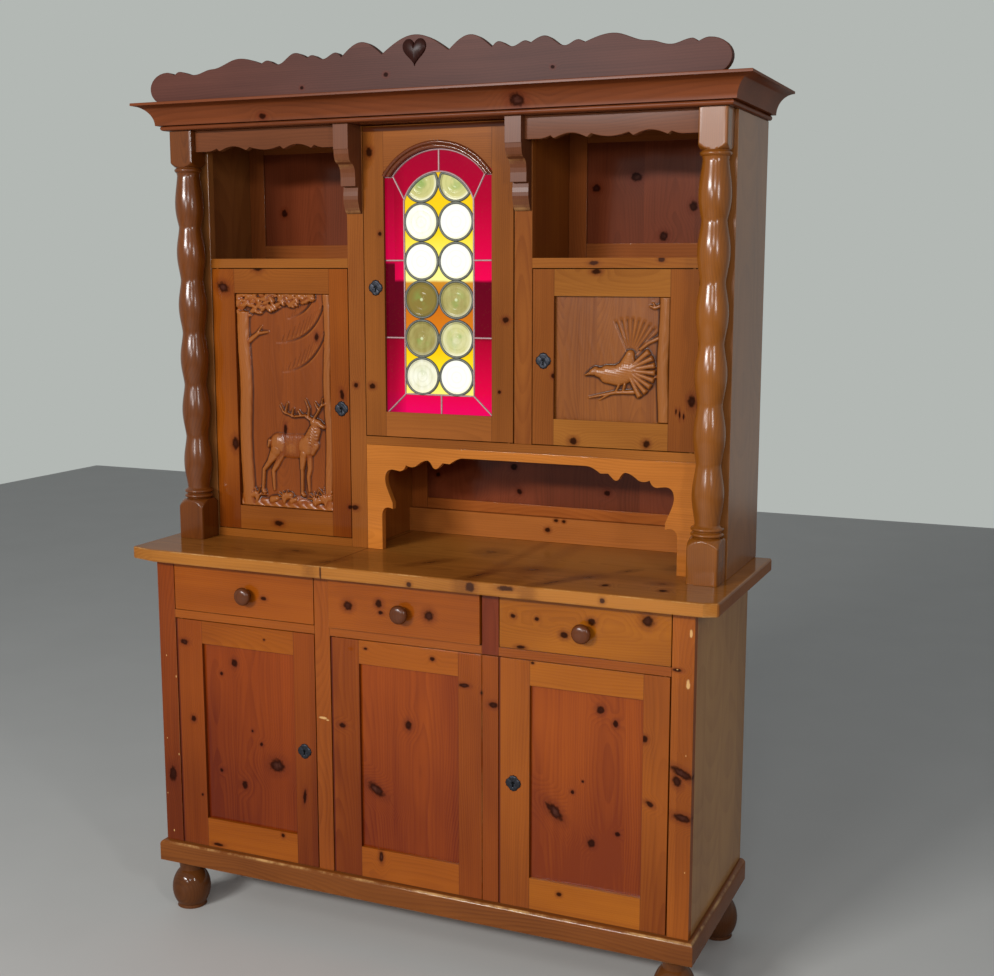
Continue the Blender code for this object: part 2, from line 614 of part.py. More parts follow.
combine(centre_floor, pin_bores((pin_5, pin_6), z_centre_top - bore, z_centre_top + bore), "DIFFERENCE")
z_glass_shelf = z_centre_top + GLASS_SHELF_LEVEL
board("glass_cupboard_shelf", (-x_wall_in, x_wall_in), (y_upper + GLASS_SHELF_SETBACK, y_inner_back),
      (z_glass_shelf, z_glass_shelf + SHELF_THICKNESS), pine_inside)
roof = board("roof_board", (-x_upper, x_upper), (y_roof, y_back), (z_roof, z_roof + ROOF_THICKNESS),
             pine_crown)
combine(roof, pin_bores((pin_6,), z_roof - bore, z_roof + bore), "DIFFERENCE")

# Apron and skirting of the wide niche
apron_middle = (x_corner - x_mid_in) / 2
apron_half = (x_corner + x_mid_in) / 2 - FIT
half_edge = bends((0.0, 0.229), [((0.150, 0.229),), ((0.163, 0.229), (0.183, 0.214)), ((0.201, 0.215),),
                                 ((0.213, 0.203),), ((0.221, 0.197), (0.227, 0.205)),
                                 ((0.235, 0.221), (0.243, 0.219)), ((0.255, 0.217), (0.270, 0.204)),
                                 ((0.282, 0.198), (0.296, 0.205)), ((0.300, 0.191), (0.313, 0.190)),
                                 ((0.322, 0.192), (0.333, 0.193)), ((0.350, 0.192), (0.351, 0.170)),
                                 ((0.351, 0.158), (0.343, 0.140)), ((0.332, 0.114),), ((0.332, 0.099),),
                                 ((0.341, 0.103), (0.349, 0.101)), ((0.358, 0.098), (0.360, 0.084)),
                                 ((0.360, 0.0),)], 4)
arch = [(apron_middle - dx, z_work + FIT / 2 + dz) for dx, dz in reversed(half_edge)]
arch += [(apron_middle + dx, z_work + FIT / 2 + dz) for dx, dz in half_edge[1:]]
apron = [(apron_middle + apron_half, z_work + FIT / 2), (apron_middle + apron_half, z_centre - FIT / 2),
         (apron_middle - apron_half, z_centre - FIT / 2), (apron_middle - apron_half, z_work + FIT / 2)]
place("niche_apron", prism(arch + apron, "Y", y_upper, y_upper + APRON_THICKNESS), pine)
board("niche_skirting", (-x_wall_in, x_upper_inner), (y_inner_back - SKIRTING_THICKNESS, y_inner_back),
      (z_work, z_work + SKIRTING_HEIGHT), pine)

# Columns
z_shaft_low = z_work + FOOT_BLOCK_HEIGHT
z_shaft_high = z_roof - TOP_BLOCK_HEIGHT
corner_radius = FOOT_BLOCK_SQUARE * 0.8
column_profile = [(0.0, z_work + FIT / 2), (corner_radius, z_work + FIT / 2)]
drop = corner_radius - COLUMN_WAIST_RADIUS
for k in range(6):
    angle = math.pi / 10 * k
    column_profile.append((corner_radius - drop * (1 - math.cos(angle)),
                           z_shaft_low - BLOCK_ROUND * (1 - math.sin(angle))))
ring_swell = COLUMN_RING_RADIUS - COLUMN_WAIST_RADIUS
for foot in (COLUMN_RING_LEVEL, COLUMN_RING_LEVEL + COLUMN_RING_PITCH):
    for k in range(5):
        angle = math.pi / 4 * k
        column_profile.append((COLUMN_WAIST_RADIUS + ring_swell * math.sin(angle),
                               z_shaft_low + foot + COLUMN_RING_HEIGHT * (k / 4 - 0.5)))
z_bulge_low = z_shaft_low + COLUMN_FOOT_RINGS
z_bulge_high = z_shaft_high - COLUMN_HEAD_RING
bulge = (z_bulge_high - z_bulge_low) / COLUMN_BULGES
for n in range(COLUMN_BULGES):
    for k in range(1 if n else 0, 7):
        swell = math.sin(math.pi * k / 6)
        column_profile.append((COLUMN_WAIST_RADIUS + (COLUMN_BULGE_RADIUS - COLUMN_WAIST_RADIUS) * swell,
                               z_bulge_low + bulge * (n + k / 6)))
for k in range(1, 5):
    angle = math.pi / 4 * k
    column_profile.append((COLUMN_WAIST_RADIUS + ring_swell * math.sin(angle),
                           z_bulge_high + COLUMN_RING_HEIGHT * k / 4))
for k in range(6):
    angle = math.pi / 10 * (5 - k)
    column_profile.append((corner_radius - drop * (1 - math.cos(angle)),
                           z_shaft_high + BLOCK_ROUND * (1 - math.sin(angle))))
column_profile.append((corner_radius, z_roof - FIT / 2))
column_profile.append((0.0, z_roof - FIT / 2))
half_head = COLUMN_SQUARE / 2 - FIT
half_foot = FOOT_BLOCK_SQUARE / 2 - FIT
z_step = (z_shaft_low + z_shaft_high) / 2
for side, sign in (("left", -1), ("right", 1)):
    x = sign * x_column
    y = y_column + COLUMN_SQUARE / 2
    bm = turned(column_profile, 20)
    bmesh.ops.translate(bm, verts=bm.verts, vec=(x, y, 0.0))
    column = place("column_" + side, bm, pine_turned, smooth=True)
    foot = (x - half_foot, x + half_foot, y_upper - FOOT_BLOCK_SQUARE + FIT, y_upper - FIT)
    head = (x - half_head, x + half_head, y - half_head, y + half_head)
    stock = stacked([(foot, z_work - FIT), (foot, z_step), (head, z_step + BLOCK_ROUND), (head, z_roof + FIT)])
    combine(column, stock, "INTERSECT")

# Corbels
nose = (CORBEL_STEP_DROP + CORBEL_HEIGHT) / 2
corbel_side = bends((FIT, 0.0), [((COLUMN_SQUARE - FIT, 0.0),), ((COLUMN_SQUARE - FIT, CORBEL_FACE),),
                                 ((COLUMN_SQUARE - CORBEL_STEP, CORBEL_FACE),),
                                 ((COLUMN_SQUARE - CORBEL_STEP, CORBEL_FACE * 0.55 + CORBEL_WAIST_DROP * 0.45),
                                  ((COLUMN_SQUARE + CORBEL_WAIST_DEPTH) / 2,
                                   (CORBEL_FACE + CORBEL_WAIST_DROP) / 2)),
                                 ((CORBEL_WAIST_DEPTH, CORBEL_FACE * 0.45 + CORBEL_WAIST_DROP * 0.55),
                                  (CORBEL_WAIST_DEPTH, CORBEL_WAIST_DROP)),
                                 ((CORBEL_WAIST_DEPTH, CORBEL_STEP_DROP),),
                                 ((CORBEL_NOSE_DEPTH * 0.85, CORBEL_STEP_DROP),),
                                 ((CORBEL_NOSE_DEPTH * 1.15, nose),
                                  (CORBEL_NOSE_DEPTH * 0.85, nose + CORBEL_NOSE_ROUND)),
                                 ((CORBEL_NOSE_DEPTH * 0.55, CORBEL_HEIGHT), (FIT, CORBEL_HEIGHT))], 5)
outline = [(y_upper - out, z_roof - FIT / 2 - drop) for out, drop in corbel_side]
for side, sign in (("left", -1), ("right", 1)):
    x = sign * MID_STILE_OFFSET
    place("corbel_" + side, prism(outline, "X", x - CORBEL_WIDTH / 2, x + CORBEL_WIDTH / 2), pine)

# Valances
valance_low = -(x_column - COLUMN_SQUARE / 2) + FIT
valance_high = -(MID_STILE_OFFSET + CORBEL_WIDTH / 2) - FIT
middle = (valance_low + valance_high) / 2
reach = (valance_high - valance_low) / 2
z_low = z_roof - VALANCE_HEIGHT
half_wave = [(0.0, z_low, True), (0.215, z_low + 0.007, False), (0.265, z_low, False),
             (0.450, z_low + 0.010, True), (0.650, z_low, False), (0.690, z_low + 0.006, False),
             (0.820, z_low, True), (1.0, z_low, False)]
wave = scallop(half_wave, 4)
for side, sign in (("left", 1), ("right", -1)):
    edge = [(sign * middle - reach * u, z) for u, z in reversed(wave)]
    edge += [(sign * middle + reach * u, z) for u, z in wave[1:]]
    edge += [(sign * middle + reach, z_roof - FIT / 2), (sign * middle - reach, z_roof - FIT / 2)]
    y_valance = y_column + VALANCE_SETBACK
    place("valance_" + side, prism(edge, "Y", y_valance, y_valance + VALANCE_THICKNESS), pine)

# Cornice
cornice_profile = [(FIT, z_roof + FIT), (CORNICE_BEAD * 0.2, z_roof + FIT)]
for k in range(1, 7):
    angle = math.pi / 6 * k
    cornice_profile.append((CORNICE_BEAD * (0.2 + 0.5 * math.sin(angle)),
                            z_roof + CORNICE_BEAD * (1 - math.cos(angle)) / 2 + FIT))
z_cove = z_roof + CORNICE_BEAD + FIT
cornice_profile.append((CORNICE_LEDGE, z_cove))
reach_out = CORNICE_PROJECTION - CORNICE_LEDGE
for k in range(1, 7):
    angle = math.pi / 12 * k
    cornice_profile.append((CORNICE_LEDGE + reach_out * (1 - math.cos(angle)),
                            z_cove + CORNICE_COVE * math.sin(angle)))
cornice_profile.append((CORNICE_PROJECTION, z_cornice))
cornice_profile.append((FIT, z_cornice))
place("cornice", swept(cornice_profile, x_upper, y_roof, y_back), pine)

# Pediment with its heart
crest = [(0.0, 0.112, True), (0.080, 0.076, False), (0.130, 0.104, True), (0.180, 0.076, False),
         (0.195, 0.086, True), (0.227, 0.074, True), (0.255, 0.084, True), (0.267, 0.079, False),
         (0.298, 0.091, True), (0.343, 0.069, True), (0.371, 0.079, True), (0.386, 0.073, False),
         (0.445, 0.087, True), (0.520, 0.068, True), (0.568, 0.058, True), (0.610, 0.067, True),
         (0.623, 0.060, False), (0.654, 0.067, True), (PEDIMENT_END, 0.046, False), (PEDIMENT_END, FIT, False)]
line = [(x, z_cornice + z) for x, z in scallop(crest, 4)]
outline = line + [(-x, z) for x, z in reversed(line[1:])]
y_pediment = y_roof - CORNICE_PROJECTION + PEDIMENT_SETBACK
pediment = place("pediment", prism(outline, "Y", y_pediment, y_pediment + PEDIMENT_THICKNESS), pine_crown)
heart = []
for k in range(28):
    t = math.tau * k / 28
    across = math.sin(t) ** 3
    up = (13 * math.cos(t) - 5 * math.cos(2 * t) - 2 * math.cos(3 * t) - math.cos(4 * t) + 17) / 29
    heart.append((HEART_WIDTH / 2 * across, z_cornice + HEART_TIP + HEART_HEIGHT * up))
combine(pediment, prism(heart, "Y", y_pediment - HEART_RELIEF, y_pediment + PEDIMENT_THICKNESS / 2), "UNION")
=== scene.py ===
import math

import bmesh
import bpy
import numpy as np
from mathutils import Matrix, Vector


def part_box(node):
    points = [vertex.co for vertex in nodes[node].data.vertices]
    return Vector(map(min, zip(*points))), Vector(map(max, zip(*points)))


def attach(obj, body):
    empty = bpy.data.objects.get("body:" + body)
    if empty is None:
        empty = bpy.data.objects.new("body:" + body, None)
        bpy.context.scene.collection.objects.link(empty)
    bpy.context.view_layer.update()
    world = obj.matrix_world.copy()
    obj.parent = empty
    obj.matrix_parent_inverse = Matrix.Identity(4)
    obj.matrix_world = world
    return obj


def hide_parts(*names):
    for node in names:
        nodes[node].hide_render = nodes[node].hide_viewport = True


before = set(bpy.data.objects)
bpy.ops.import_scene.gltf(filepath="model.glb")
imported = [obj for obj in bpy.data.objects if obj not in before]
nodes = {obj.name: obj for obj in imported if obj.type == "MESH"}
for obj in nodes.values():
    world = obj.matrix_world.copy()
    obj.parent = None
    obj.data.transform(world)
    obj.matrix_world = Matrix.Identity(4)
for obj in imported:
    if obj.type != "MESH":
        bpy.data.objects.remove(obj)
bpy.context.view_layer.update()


# Lacquered pine
# The whole buffet is solid knotty pine, stained from honey to red-brown under a glossy clear lacquer.
# Its boards are sawn so that nested year rings show on the faces, with red knots that the rings bend round.
def tint(red, green, blue):
    steps = [value / 255 for value in (red, green, blue)]
    return tuple(s / 12.92 if s <= 0.04045 else ((s + 0.055) / 1.055) ** 2.4 for s in steps) + (1.0,)


def feed(tree, socket, value):
    if isinstance(value, bpy.types.NodeSocket):
        tree.links.new(value, socket)
    else:
        socket.default_value = value


def sums(tree, operation, *values):
    node = tree.nodes.new("ShaderNodeMath")
    node.operation = operation
    for socket, value in zip(node.inputs, values):
        feed(tree, socket, value)
    return node.outputs[0]


def eased(tree, value, start, end):
    node = tree.nodes.new("ShaderNodeMapRange")
    node.interpolation_type = "SMOOTHSTEP"
    for socket, given in zip(node.inputs, (value, start, end, 0.0, 1.0)):
        feed(tree, socket, given)
    return node.outputs["Result"]


def parts_of(tree, vector):
    node = tree.nodes.new("ShaderNodeSeparateXYZ")
    feed(tree, node.inputs[0], vector)
    return node.outputs


def vector_of(tree, x, y, z):
    node = tree.nodes.new("ShaderNodeCombineXYZ")
    for socket, value in zip(node.inputs, (x, y, z)):
        feed(tree, socket, value)
    return node.outputs[0]


def vectors(tree, operation, first, second):
    node = tree.nodes.new("ShaderNodeVectorMath")
    node.operation = operation
    feed(tree, node.inputs[0], first)
    feed(tree, node.inputs[1], second)
    return node.outputs["Value" if operation in ("LENGTH", "DISTANCE") else "Vector"]


def mottle(tree, vector, scale, detail=2.0, roughness=0.5):
    node = tree.nodes.new("ShaderNodeTexNoise")
    feed(tree, node.inputs["Vector"], vector)
    for label, value in (("Scale", scale), ("Detail", detail), ("Roughness", roughness)):
        feed(tree, node.inputs[label], value)
    return node.outputs["Fac"]


def tinted(tree, mask, below, above, mode="MIX"):
    node = tree.nodes.new("ShaderNodeMix")
    node.data_type = "RGBA"
    node.blend_type = mode
    for socket, value in zip((node.inputs[0], node.inputs[6], node.inputs[7]), (mask, below, above)):
        feed(tree, socket, value)
    return node.outputs[2]


def shader_group(name, inputs, outputs):
    group = bpy.data.node_groups.new(name, "ShaderNodeTree")
    kinds = {"value": "NodeSocketFloat", "vector": "NodeSocketVector", "colour": "NodeSocketColor"}
    for label, kind in inputs:
        group.interface.new_socket(name=label, in_out="INPUT", socket_type=kinds[kind])
    for label, kind in outputs:
        group.interface.new_socket(name=label, in_out="OUTPUT", socket_type=kinds[kind])
    source = group.nodes.new("NodeGroupInput")
    sink = group.nodes.new("NodeGroupOutput")
    return group, source.outputs, sink.inputs


def placed(tree, group, values):
    node = tree.nodes.new("ShaderNodeGroup")
    node.node_tree = group
    for label, value in values.items():
        feed(tree, node.inputs[label], value)
    return node.outputs


knot_group, given, made = shader_group(
    "pine knot",
    [("Grain", "vector"), ("Across", "value"), ("Along", "value"), ("Radius", "value"), ("Stretch", "value"),
     ("Lean", "value"), ("Core", "value"), ("Rim", "value"), ("Halo", "value"), ("Pull", "value")],
    [("Core", "value"), ("Rim", "value"), ("Halo", "value"), ("Pull", "value")])
across, depth, along = parts_of(knot_group, given["Grain"])
aside = sums(knot_group, "SUBTRACT", across, given["Across"])
beyond = sums(knot_group, "SUBTRACT", along, given["Along"])
beyond = sums(knot_group, "MULTIPLY_ADD", aside, given["Lean"], beyond)
beyond = sums(knot_group, "DIVIDE", beyond, given["Stretch"])
ragged = sums(knot_group, "MULTIPLY_ADD", mottle(knot_group, given["Grain"], 110.0, 3.0), 0.9, -0.45)
away = vectors(knot_group, "LENGTH", vector_of(knot_group, aside, beyond, 0.0), (0.0, 0.0, 0.0))
away = sums(knot_group, "DIVIDE", away, given["Radius"])
rough_away = sums(knot_group, "ADD", away, ragged)
core = sums(knot_group, "SUBTRACT", 1.0, eased(knot_group, rough_away, 0.10, 0.75))
core = sums(knot_group, "MULTIPLY", core, eased(knot_group, given["Radius"], 0.007, 0.014))
rim = sums(knot_group, "SUBTRACT", 1.0, eased(knot_group, rough_away, 0.62, 1.22))
halo = sums(knot_group, "SUBTRACT", 1.0, eased(knot_group, rough_away, 0.90, 2.4))
pull = sums(knot_group, "SUBTRACT", 1.0, eased(knot_group, away, 0.3, 4.5))
pull = sums(knot_group, "MULTIPLY", pull, sums(knot_group, "MULTIPLY", given["Radius"], 1.2))
feed(knot_group, made["Core"], sums(knot_group, "MAXIMUM", given["Core"], core))
feed(knot_group, made["Rim"], sums(knot_group, "MAXIMUM", given["Rim"], rim))
feed(knot_group, made["Halo"], sums(knot_group, "MAXIMUM", given["Halo"], halo))
feed(knot_group, made["Pull"], sums(knot_group, "ADD", given["Pull"], pull))

pine_group, given, made = shader_group(
    "sawn pine",
    [("Grain", "vector"), ("Pale", "colour"), ("Deep", "colour"), ("Board", "value"), ("Rings", "value"),
     ("Seed", "value"), ("Loose", "value"), ("Core", "value"), ("Rim", "value"), ("Halo", "value"),
     ("Pull", "value"), ("Tone", "value"), ("Worn", "value")],
    [("Color", "colour"), ("Roughness", "value"), ("Height", "value"), ("Knot", "value")])
across, depth, along = parts_of(pine_group, given["Grain"])
seed = given["Seed"]
far = vector_of(pine_group, sums(pine_group, "MULTIPLY", seed, 0.71),
                sums(pine_group, "MULTIPLY", seed, 0.37), sums(pine_group, "MULTIPLY", seed, 1.3))
spot = vectors(pine_group, "ADD", given["Grain"], far)
shifted = sums(pine_group, "MULTIPLY_ADD", seed, 0.0137, across)
number = sums(pine_group, "FLOOR", sums(pine_group, "DIVIDE", shifted, given["Board"]))
chance = pine_group.nodes.new("ShaderNodeTexWhiteNoise")
chance.noise_dimensions = "1D"
feed(pine_group, chance.inputs["W"], sums(pine_group, "MULTIPLY_ADD", seed, 7.31, number))
lot = chance.outputs["Value"]
other_lot, third_lot = parts_of(pine_group, chance.outputs["Color"])[1:]
middle = sums(pine_group, "MULTIPLY", sums(pine_group, "ADD", number, 0.5), given["Board"])
aside = sums(pine_group, "SUBTRACT", shifted, middle)
aside = sums(pine_group, "ADD", aside, sums(pine_group, "MULTIPLY_ADD", lot, 0.07, -0.035))
waver = mottle(pine_group, vectors(pine_group, "MULTIPLY", spot, (11.0, 11.0, 2.6)), 1.0, 3.0)
aside = sums(pine_group, "ADD", aside, sums(pine_group, "MULTIPLY_ADD", waver, 0.026, -0.013))
rise = mottle(pine_group, vector_of(pine_group, other_lot, seed, sums(pine_group, "MULTIPLY", along, 1.7)),
              1.0, 1.0)
heart_depth = sums(pine_group, "ADD", depth, sums(pine_group, "MULTIPLY_ADD", rise, 0.10, 0.004))
ring = vectors(pine_group, "LENGTH", vector_of(pine_group, aside, heart_depth, 0.0), (0.0, 0.0, 0.0))
ring = sums(pine_group, "DIVIDE", sums(pine_group, "ADD", ring, given["Pull"]), given["Rings"])
turn = sums(pine_group, "FRACT", ring)
late = sums(pine_group, "MULTIPLY", eased(pine_group, turn, 0.25, 0.92),
            sums(pine_group, "SUBTRACT", 1.0, eased(pine_group, turn, 0.93, 1.0)))
late = sums(pine_group, "MULTIPLY", late,
            mottle(pine_group, vectors(pine_group, "MULTIPLY", spot, (30.0, 30.0, 3.0)), 1.0))
fibre = mottle(pine_group, vectors(pine_group, "MULTIPLY", spot, (900.0, 900.0, 16.0)), 1.0, 2.0, 0.7)
streak = mottle(pine_group, vectors(pine_group, "MULTIPLY", spot, (95.0, 95.0, 2.4)), 1.0, 2.0)
patch = mottle(pine_group, vectors(pine_group, "MULTIPLY", spot, (6.0, 6.0, 2.4)), 1.0, 2.0)
amount = sums(pine_group, "MULTIPLY_ADD", late, 0.34, 0.02)
amount = sums(pine_group, "ADD", amount, sums(pine_group, "MULTIPLY_ADD", fibre, 0.26, -0.13))
amount = sums(pine_group, "ADD", amount, sums(pine_group, "MULTIPLY_ADD", streak, 0.44, -0.22))
amount = sums(pine_group, "ADD", amount, sums(pine_group, "MULTIPLY_ADD", patch, 1.30, -0.35))
amount = sums(pine_group, "ADD", amount, sums(pine_group, "MULTIPLY_ADD", third_lot, 0.30, -0.15))
amount = sums(pine_group, "ADD", amount, given["Tone"])
amount.node.use_clamp = True
wood = tinted(pine_group, amount, given["Pale"], given["Deep"])
cells = pine_group.nodes.new("ShaderNodeTexVoronoi")
feed(pine_group, cells.inputs["Vector"], vectors(pine_group, "MULTIPLY", spot, (6.0, 0.0, 4.2)))
feed(pine_group, cells.inputs["Scale"], 1.0)
there, girth = parts_of(pine_group, cells.outputs["Color"])[:2]
knot_size = sums(pine_group, "MULTIPLY_ADD", girth, 0.034, 0.018)
reach = sums(pine_group, "DIVIDE", cells.outputs["Distance"], knot_size)
reach = sums(pine_group, "ADD", reach, sums(pine_group, "MULTIPLY_ADD", waver, 1.2, -0.6))
chosen = sums(pine_group, "LESS_THAN", there, given["Loose"])
loose_core = sums(pine_group, "MULTIPLY", chosen,
                  sums(pine_group, "SUBTRACT", 1.0, eased(pine_group, reach, 0.5, 0.95)))
loose_rim = sums(pine_group, "MULTIPLY", chosen,
                 sums(pine_group, "SUBTRACT", 1.0, eased(pine_group, reach, 0.95, 1.6)))
all_core = sums(pine_group, "MAXIMUM", given["Core"], loose_core)
all_rim = sums(pine_group, "MAXIMUM", given["Rim"], loose_rim)
wood = tinted(pine_group, sums(pine_group, "MULTIPLY", given["Halo"], 0.46), wood, tint(92, 30, 8))
wood = tinted(pine_group, sums(pine_group, "MULTIPLY", all_rim, 0.92), wood, tint(30, 8, 3))
wood = tinted(pine_group,
              sums(pine_group, "MULTIPLY", all_core, sums(pine_group, "MULTIPLY_ADD", streak, 1.5, -0.35)),
              wood, tint(88, 50, 40))
# Pale worn wood; where a finish adds pale spots, this also carries painted highlights.
wood = tinted(pine_group, given["Worn"], wood, tint(206, 158, 98))
feed(pine_group, made["Color"], wood)
feed(pine_group, made["Knot"], all_rim)
rough = sums(pine_group, "MULTIPLY_ADD", fibre, 0.14, 0.27)
feed(pine_group, made["Roughness"], sums(pine_group, "MULTIPLY_ADD", given["Worn"], 0.25, rough))
height = sums(pine_group, "MULTIPLY_ADD", late, -0.35, sums(pine_group, "MULTIPLY", fibre, 0.5))
feed(pine_group, made["Height"], sums(pine_group, "MULTIPLY_ADD", all_rim, -0.5, height))

wear_group, given, made = shader_group(
    "worn arris", [("Facing", "vector"), ("Place", "vector"), ("Amount", "value")], [("Worn", "value")])
facing = parts_of(wear_group, given["Facing"])
flatness = sums(wear_group, "MAXIMUM", sums(wear_group, "ABSOLUTE", facing[0]),
                sums(wear_group, "ABSOLUTE", facing[1]))
flatness = sums(wear_group, "MAXIMUM", flatness, sums(wear_group, "ABSOLUTE", facing[2]))
arris = sums(wear_group, "SUBTRACT", 1.0, eased(wear_group, flatness, 0.76, 0.98))
nicks = eased(wear_group, mottle(wear_group, given["Place"], 11.0, 6.0, 0.72), 0.40, 0.66)
feed(wear_group, made["Worn"],
     sums(wear_group, "MULTIPLY", sums(wear_group, "MULTIPLY", arris, nicks), given["Amount"]))

GRAINS = {"upright": "xyz", "level": "zyx", "side": "yxz", "flat": "yzx"}
KNOT_MASKS = ("Core", "Rim", "Halo", "Pull")


def sawn(tree, place, worn, tone, grain, face, pale, deep, seed, board, rings, loose, knots):
    axes = {axis: socket for axis, socket in zip("xyz", parts_of(tree, place))}
    first, second, third = [axes[letter] for letter in GRAINS[grain]]
    lie = vector_of(tree, first, sums(tree, "SUBTRACT", second, face), third)
    masks = dict.fromkeys(KNOT_MASKS, 0.0)
    for x, other, half_x, half_other, *lean in knots:
        spot = (x, other, half_x, half_other) if grain == "upright" else (other, x, half_other, half_x)
        values = {"Grain": lie, "Across": spot[0], "Along": spot[1], "Radius": spot[2],
                  "Stretch": spot[3] / spot[2], "Lean": lean[0] if lean else 0.0}
        values.update({label: masks[label] for label in KNOT_MASKS})
        masks = placed(tree, knot_group, values)
    values = {"Grain": lie, "Pale": tint(*pale), "Deep": tint(*deep), "Board": board, "Rings": rings,
              "Seed": seed, "Loose": loose, "Tone": tone, "Worn": worn}
    values.update({label: masks[label] for label in KNOT_MASKS})
    return placed(tree, pine_group, values)


def lone_knot(tree, lie, across, along, half_across, half_along, lean=0.0):
    values = {"Grain": lie, "Across": across, "Along": along, "Radius": half_across,
              "Stretch": half_along / half_across, "Lean": lean}
    values.update(dict.fromkeys(KNOT_MASKS, 0.0))
    return placed(tree, knot_group, values)


def pine_finish(name, pale, deep, seed, grain="upright", face=0.0, board=0.11, rings=0.0045, loose=0.10,
                knots=(), wear=0.6, rails=None, rail_knots=(), gloss=0.45, film=0.12, carved=False,
                redder=None, chips_and_glints=(), gap_shadows=(), edge_knots=(), streaks=(), end_grain=0.0):
    finish = bpy.data.materials.new(name)
    finish.use_nodes = True
    tree = finish.node_tree
    shader = tree.nodes["Principled BSDF"]
    coords = tree.nodes.new("ShaderNodeTexCoord").outputs
    place = coords["Object"]
    x, y, z = parts_of(tree, place)
    worn = placed(tree, wear_group, {"Facing": coords["Normal"], "Place": place, "Amount": wear})["Worn"]
    # Pale spots joined to the wear: real chips, and on the right base stile painted highlights standing in
    # for glints on dents.
    for pale_x, pale_z, half_x, half_z in chips_and_glints:
        pale_spot = lone_knot(tree, place, pale_x, pale_z, half_x, half_z)
        worn = sums(tree, "MAXIMUM", worn, pale_spot["Rim"])
    tone = 0.0
    if redder:
        high, low, more = redder
        tone = sums(tree, "MULTIPLY", eased(tree, z, high, low), more)
    wood = sawn(tree, place, worn, tone, grain, face, pale, deep, seed, board, rings, loose, knots)
    shade, dull, height, knot = wood["Color"], wood["Roughness"], wood["Height"], wood["Knot"]
    if rails:
        left, right, rail_pale, rail_deep = rails
        cross = sawn(tree, place, worn, 0.0, "level", face, rail_pale, rail_deep, seed + 5, 0.2, rings,
                     loose, rail_knots)
        within = sums(tree, "MULTIPLY", sums(tree, "GREATER_THAN", x, left),
                      sums(tree, "LESS_THAN", x, right))
        joint = sums(tree, "MINIMUM", sums(tree, "ABSOLUTE", sums(tree, "SUBTRACT", x, left)),
                     sums(tree, "ABSOLUTE", sums(tree, "SUBTRACT", x, right)))
        joint = sums(tree, "SUBTRACT", 1.0, eased(tree, joint, 0.0003, 0.0011))
        shade = tinted(tree, within, shade, cross["Color"])
        shade = tinted(tree, sums(tree, "MULTIPLY", joint, 0.45), shade, tint(58, 22, 8))
        height = sums(tree, "SUBTRACT", height, joint)
        knot = sums(tree, "MAXIMUM", knot, cross["Knot"])
    # Painted shade: a dark red band along the given x stands in for the shadow in the gap beside a door's
    # hinge edge.
    for gap_x, width in gap_shadows:
        gap_shade = sums(tree, "ABSOLUTE", sums(tree, "SUBTRACT", x, gap_x))
        gap_shade = sums(tree, "SUBTRACT", 1.0, eased(tree, gap_shade, width * 0.5, width))
        shade = tinted(tree, sums(tree, "MULTIPLY", gap_shade, 0.85), shade, tint(76, 18, 6))
    for knot_x, knot_z, half_x, half_z in edge_knots:
        dark = lone_knot(tree, place, knot_x, knot_z, half_x, half_z)
        shade = tinted(tree, sums(tree, "MULTIPLY", dark["Halo"], 0.35), shade, tint(96, 40, 14))
        shade = tinted(tree, sums(tree, "MULTIPLY", dark["Rim"], 0.90), shade, tint(46, 16, 6))
    for streak_x, streak_y, half_x, half_y, lean in streaks:
        flat_lie = vector_of(tree, y, z, x)
        dark = lone_knot(tree, flat_lie, streak_y, streak_x, half_y, half_x, lean)
        shade = tinted(tree, sums(tree, "MULTIPLY", dark["Halo"], 0.40), shade, tint(84, 38, 12))
        shade = tinted(tree, sums(tree, "MULTIPLY", dark["Core"], 0.60), shade, tint(46, 18, 6))
    if end_grain:
        endwise = eased(tree, sums(tree, "ABSOLUTE", parts_of(tree, coords["Normal"])[0]), 0.35, 0.75)
        shade = tinted(tree, sums(tree, "MULTIPLY", endwise, end_grain), shade, tint(112, 54, 20))
    # Carved panels: darker in the cuts, stain plus painted shade, and paler on the high spots, rubbed wear
    # plus painted highlight.
    if carved:
        carving_stain_and_shade = tree.nodes.new("ShaderNodeAttribute")
        carving_stain_and_shade.attribute_name = "carving_stain_and_shade"
        stain_and_shade_in_cuts = eased(tree, carving_stain_and_shade.outputs["Fac"], 0.56, 0.95)
        rubbed_and_highlit = eased(tree, carving_stain_and_shade.outputs["Fac"], 0.42, 0.08)
        shade = tinted(tree, sums(tree, "MULTIPLY", stain_and_shade_in_cuts, 0.85), shade, tint(46, 18, 7))
        shade = tinted(tree, sums(tree, "MULTIPLY", rubbed_and_highlit, 0.42), shade, tint(172, 108, 52))
    feed(tree, shader.inputs["Base Color"], shade)
    feed(tree, shader.inputs["Roughness"], dull)
    shader.inputs["Specular IOR Level"].default_value = 0.0
    feed(tree, shader.inputs["Coat Weight"], sums(tree, "MULTIPLY_ADD", knot, -0.75 * gloss, gloss))
    shader.inputs["Coat Roughness"].default_value = film
    bump = tree.nodes.new("ShaderNodeBump")
    bump.inputs["Strength"].default_value = 0.30
    bump.inputs["Distance"].default_value = 0.0008
    feed(tree, bump.inputs["Height"], height)
    feed(tree, shader.inputs["Normal"], bump.outputs["Normal"])
    return finish


def dress(node_name, finish, ease=0.0010):
    node = nodes[node_name]
    if node.material_slots:
        for slot in node.material_slots:
            slot.material = finish
    else:
        node.data.materials.append(finish)
    weld = node.modifiers.new("weld", "WELD")
    weld.merge_threshold = 0.00001
    if ease:
        bevel = node.modifiers.new("eased arrises", "BEVEL")
        bevel.width = ease
        bevel.segments = 2
        bevel.limit_method = "ANGLE"
        bevel.angle_limit = math.radians(35)
        bevel.harden_normals = False
    node.modifiers.new("even shading", "WEIGHTED_NORMAL").keep_sharp = True


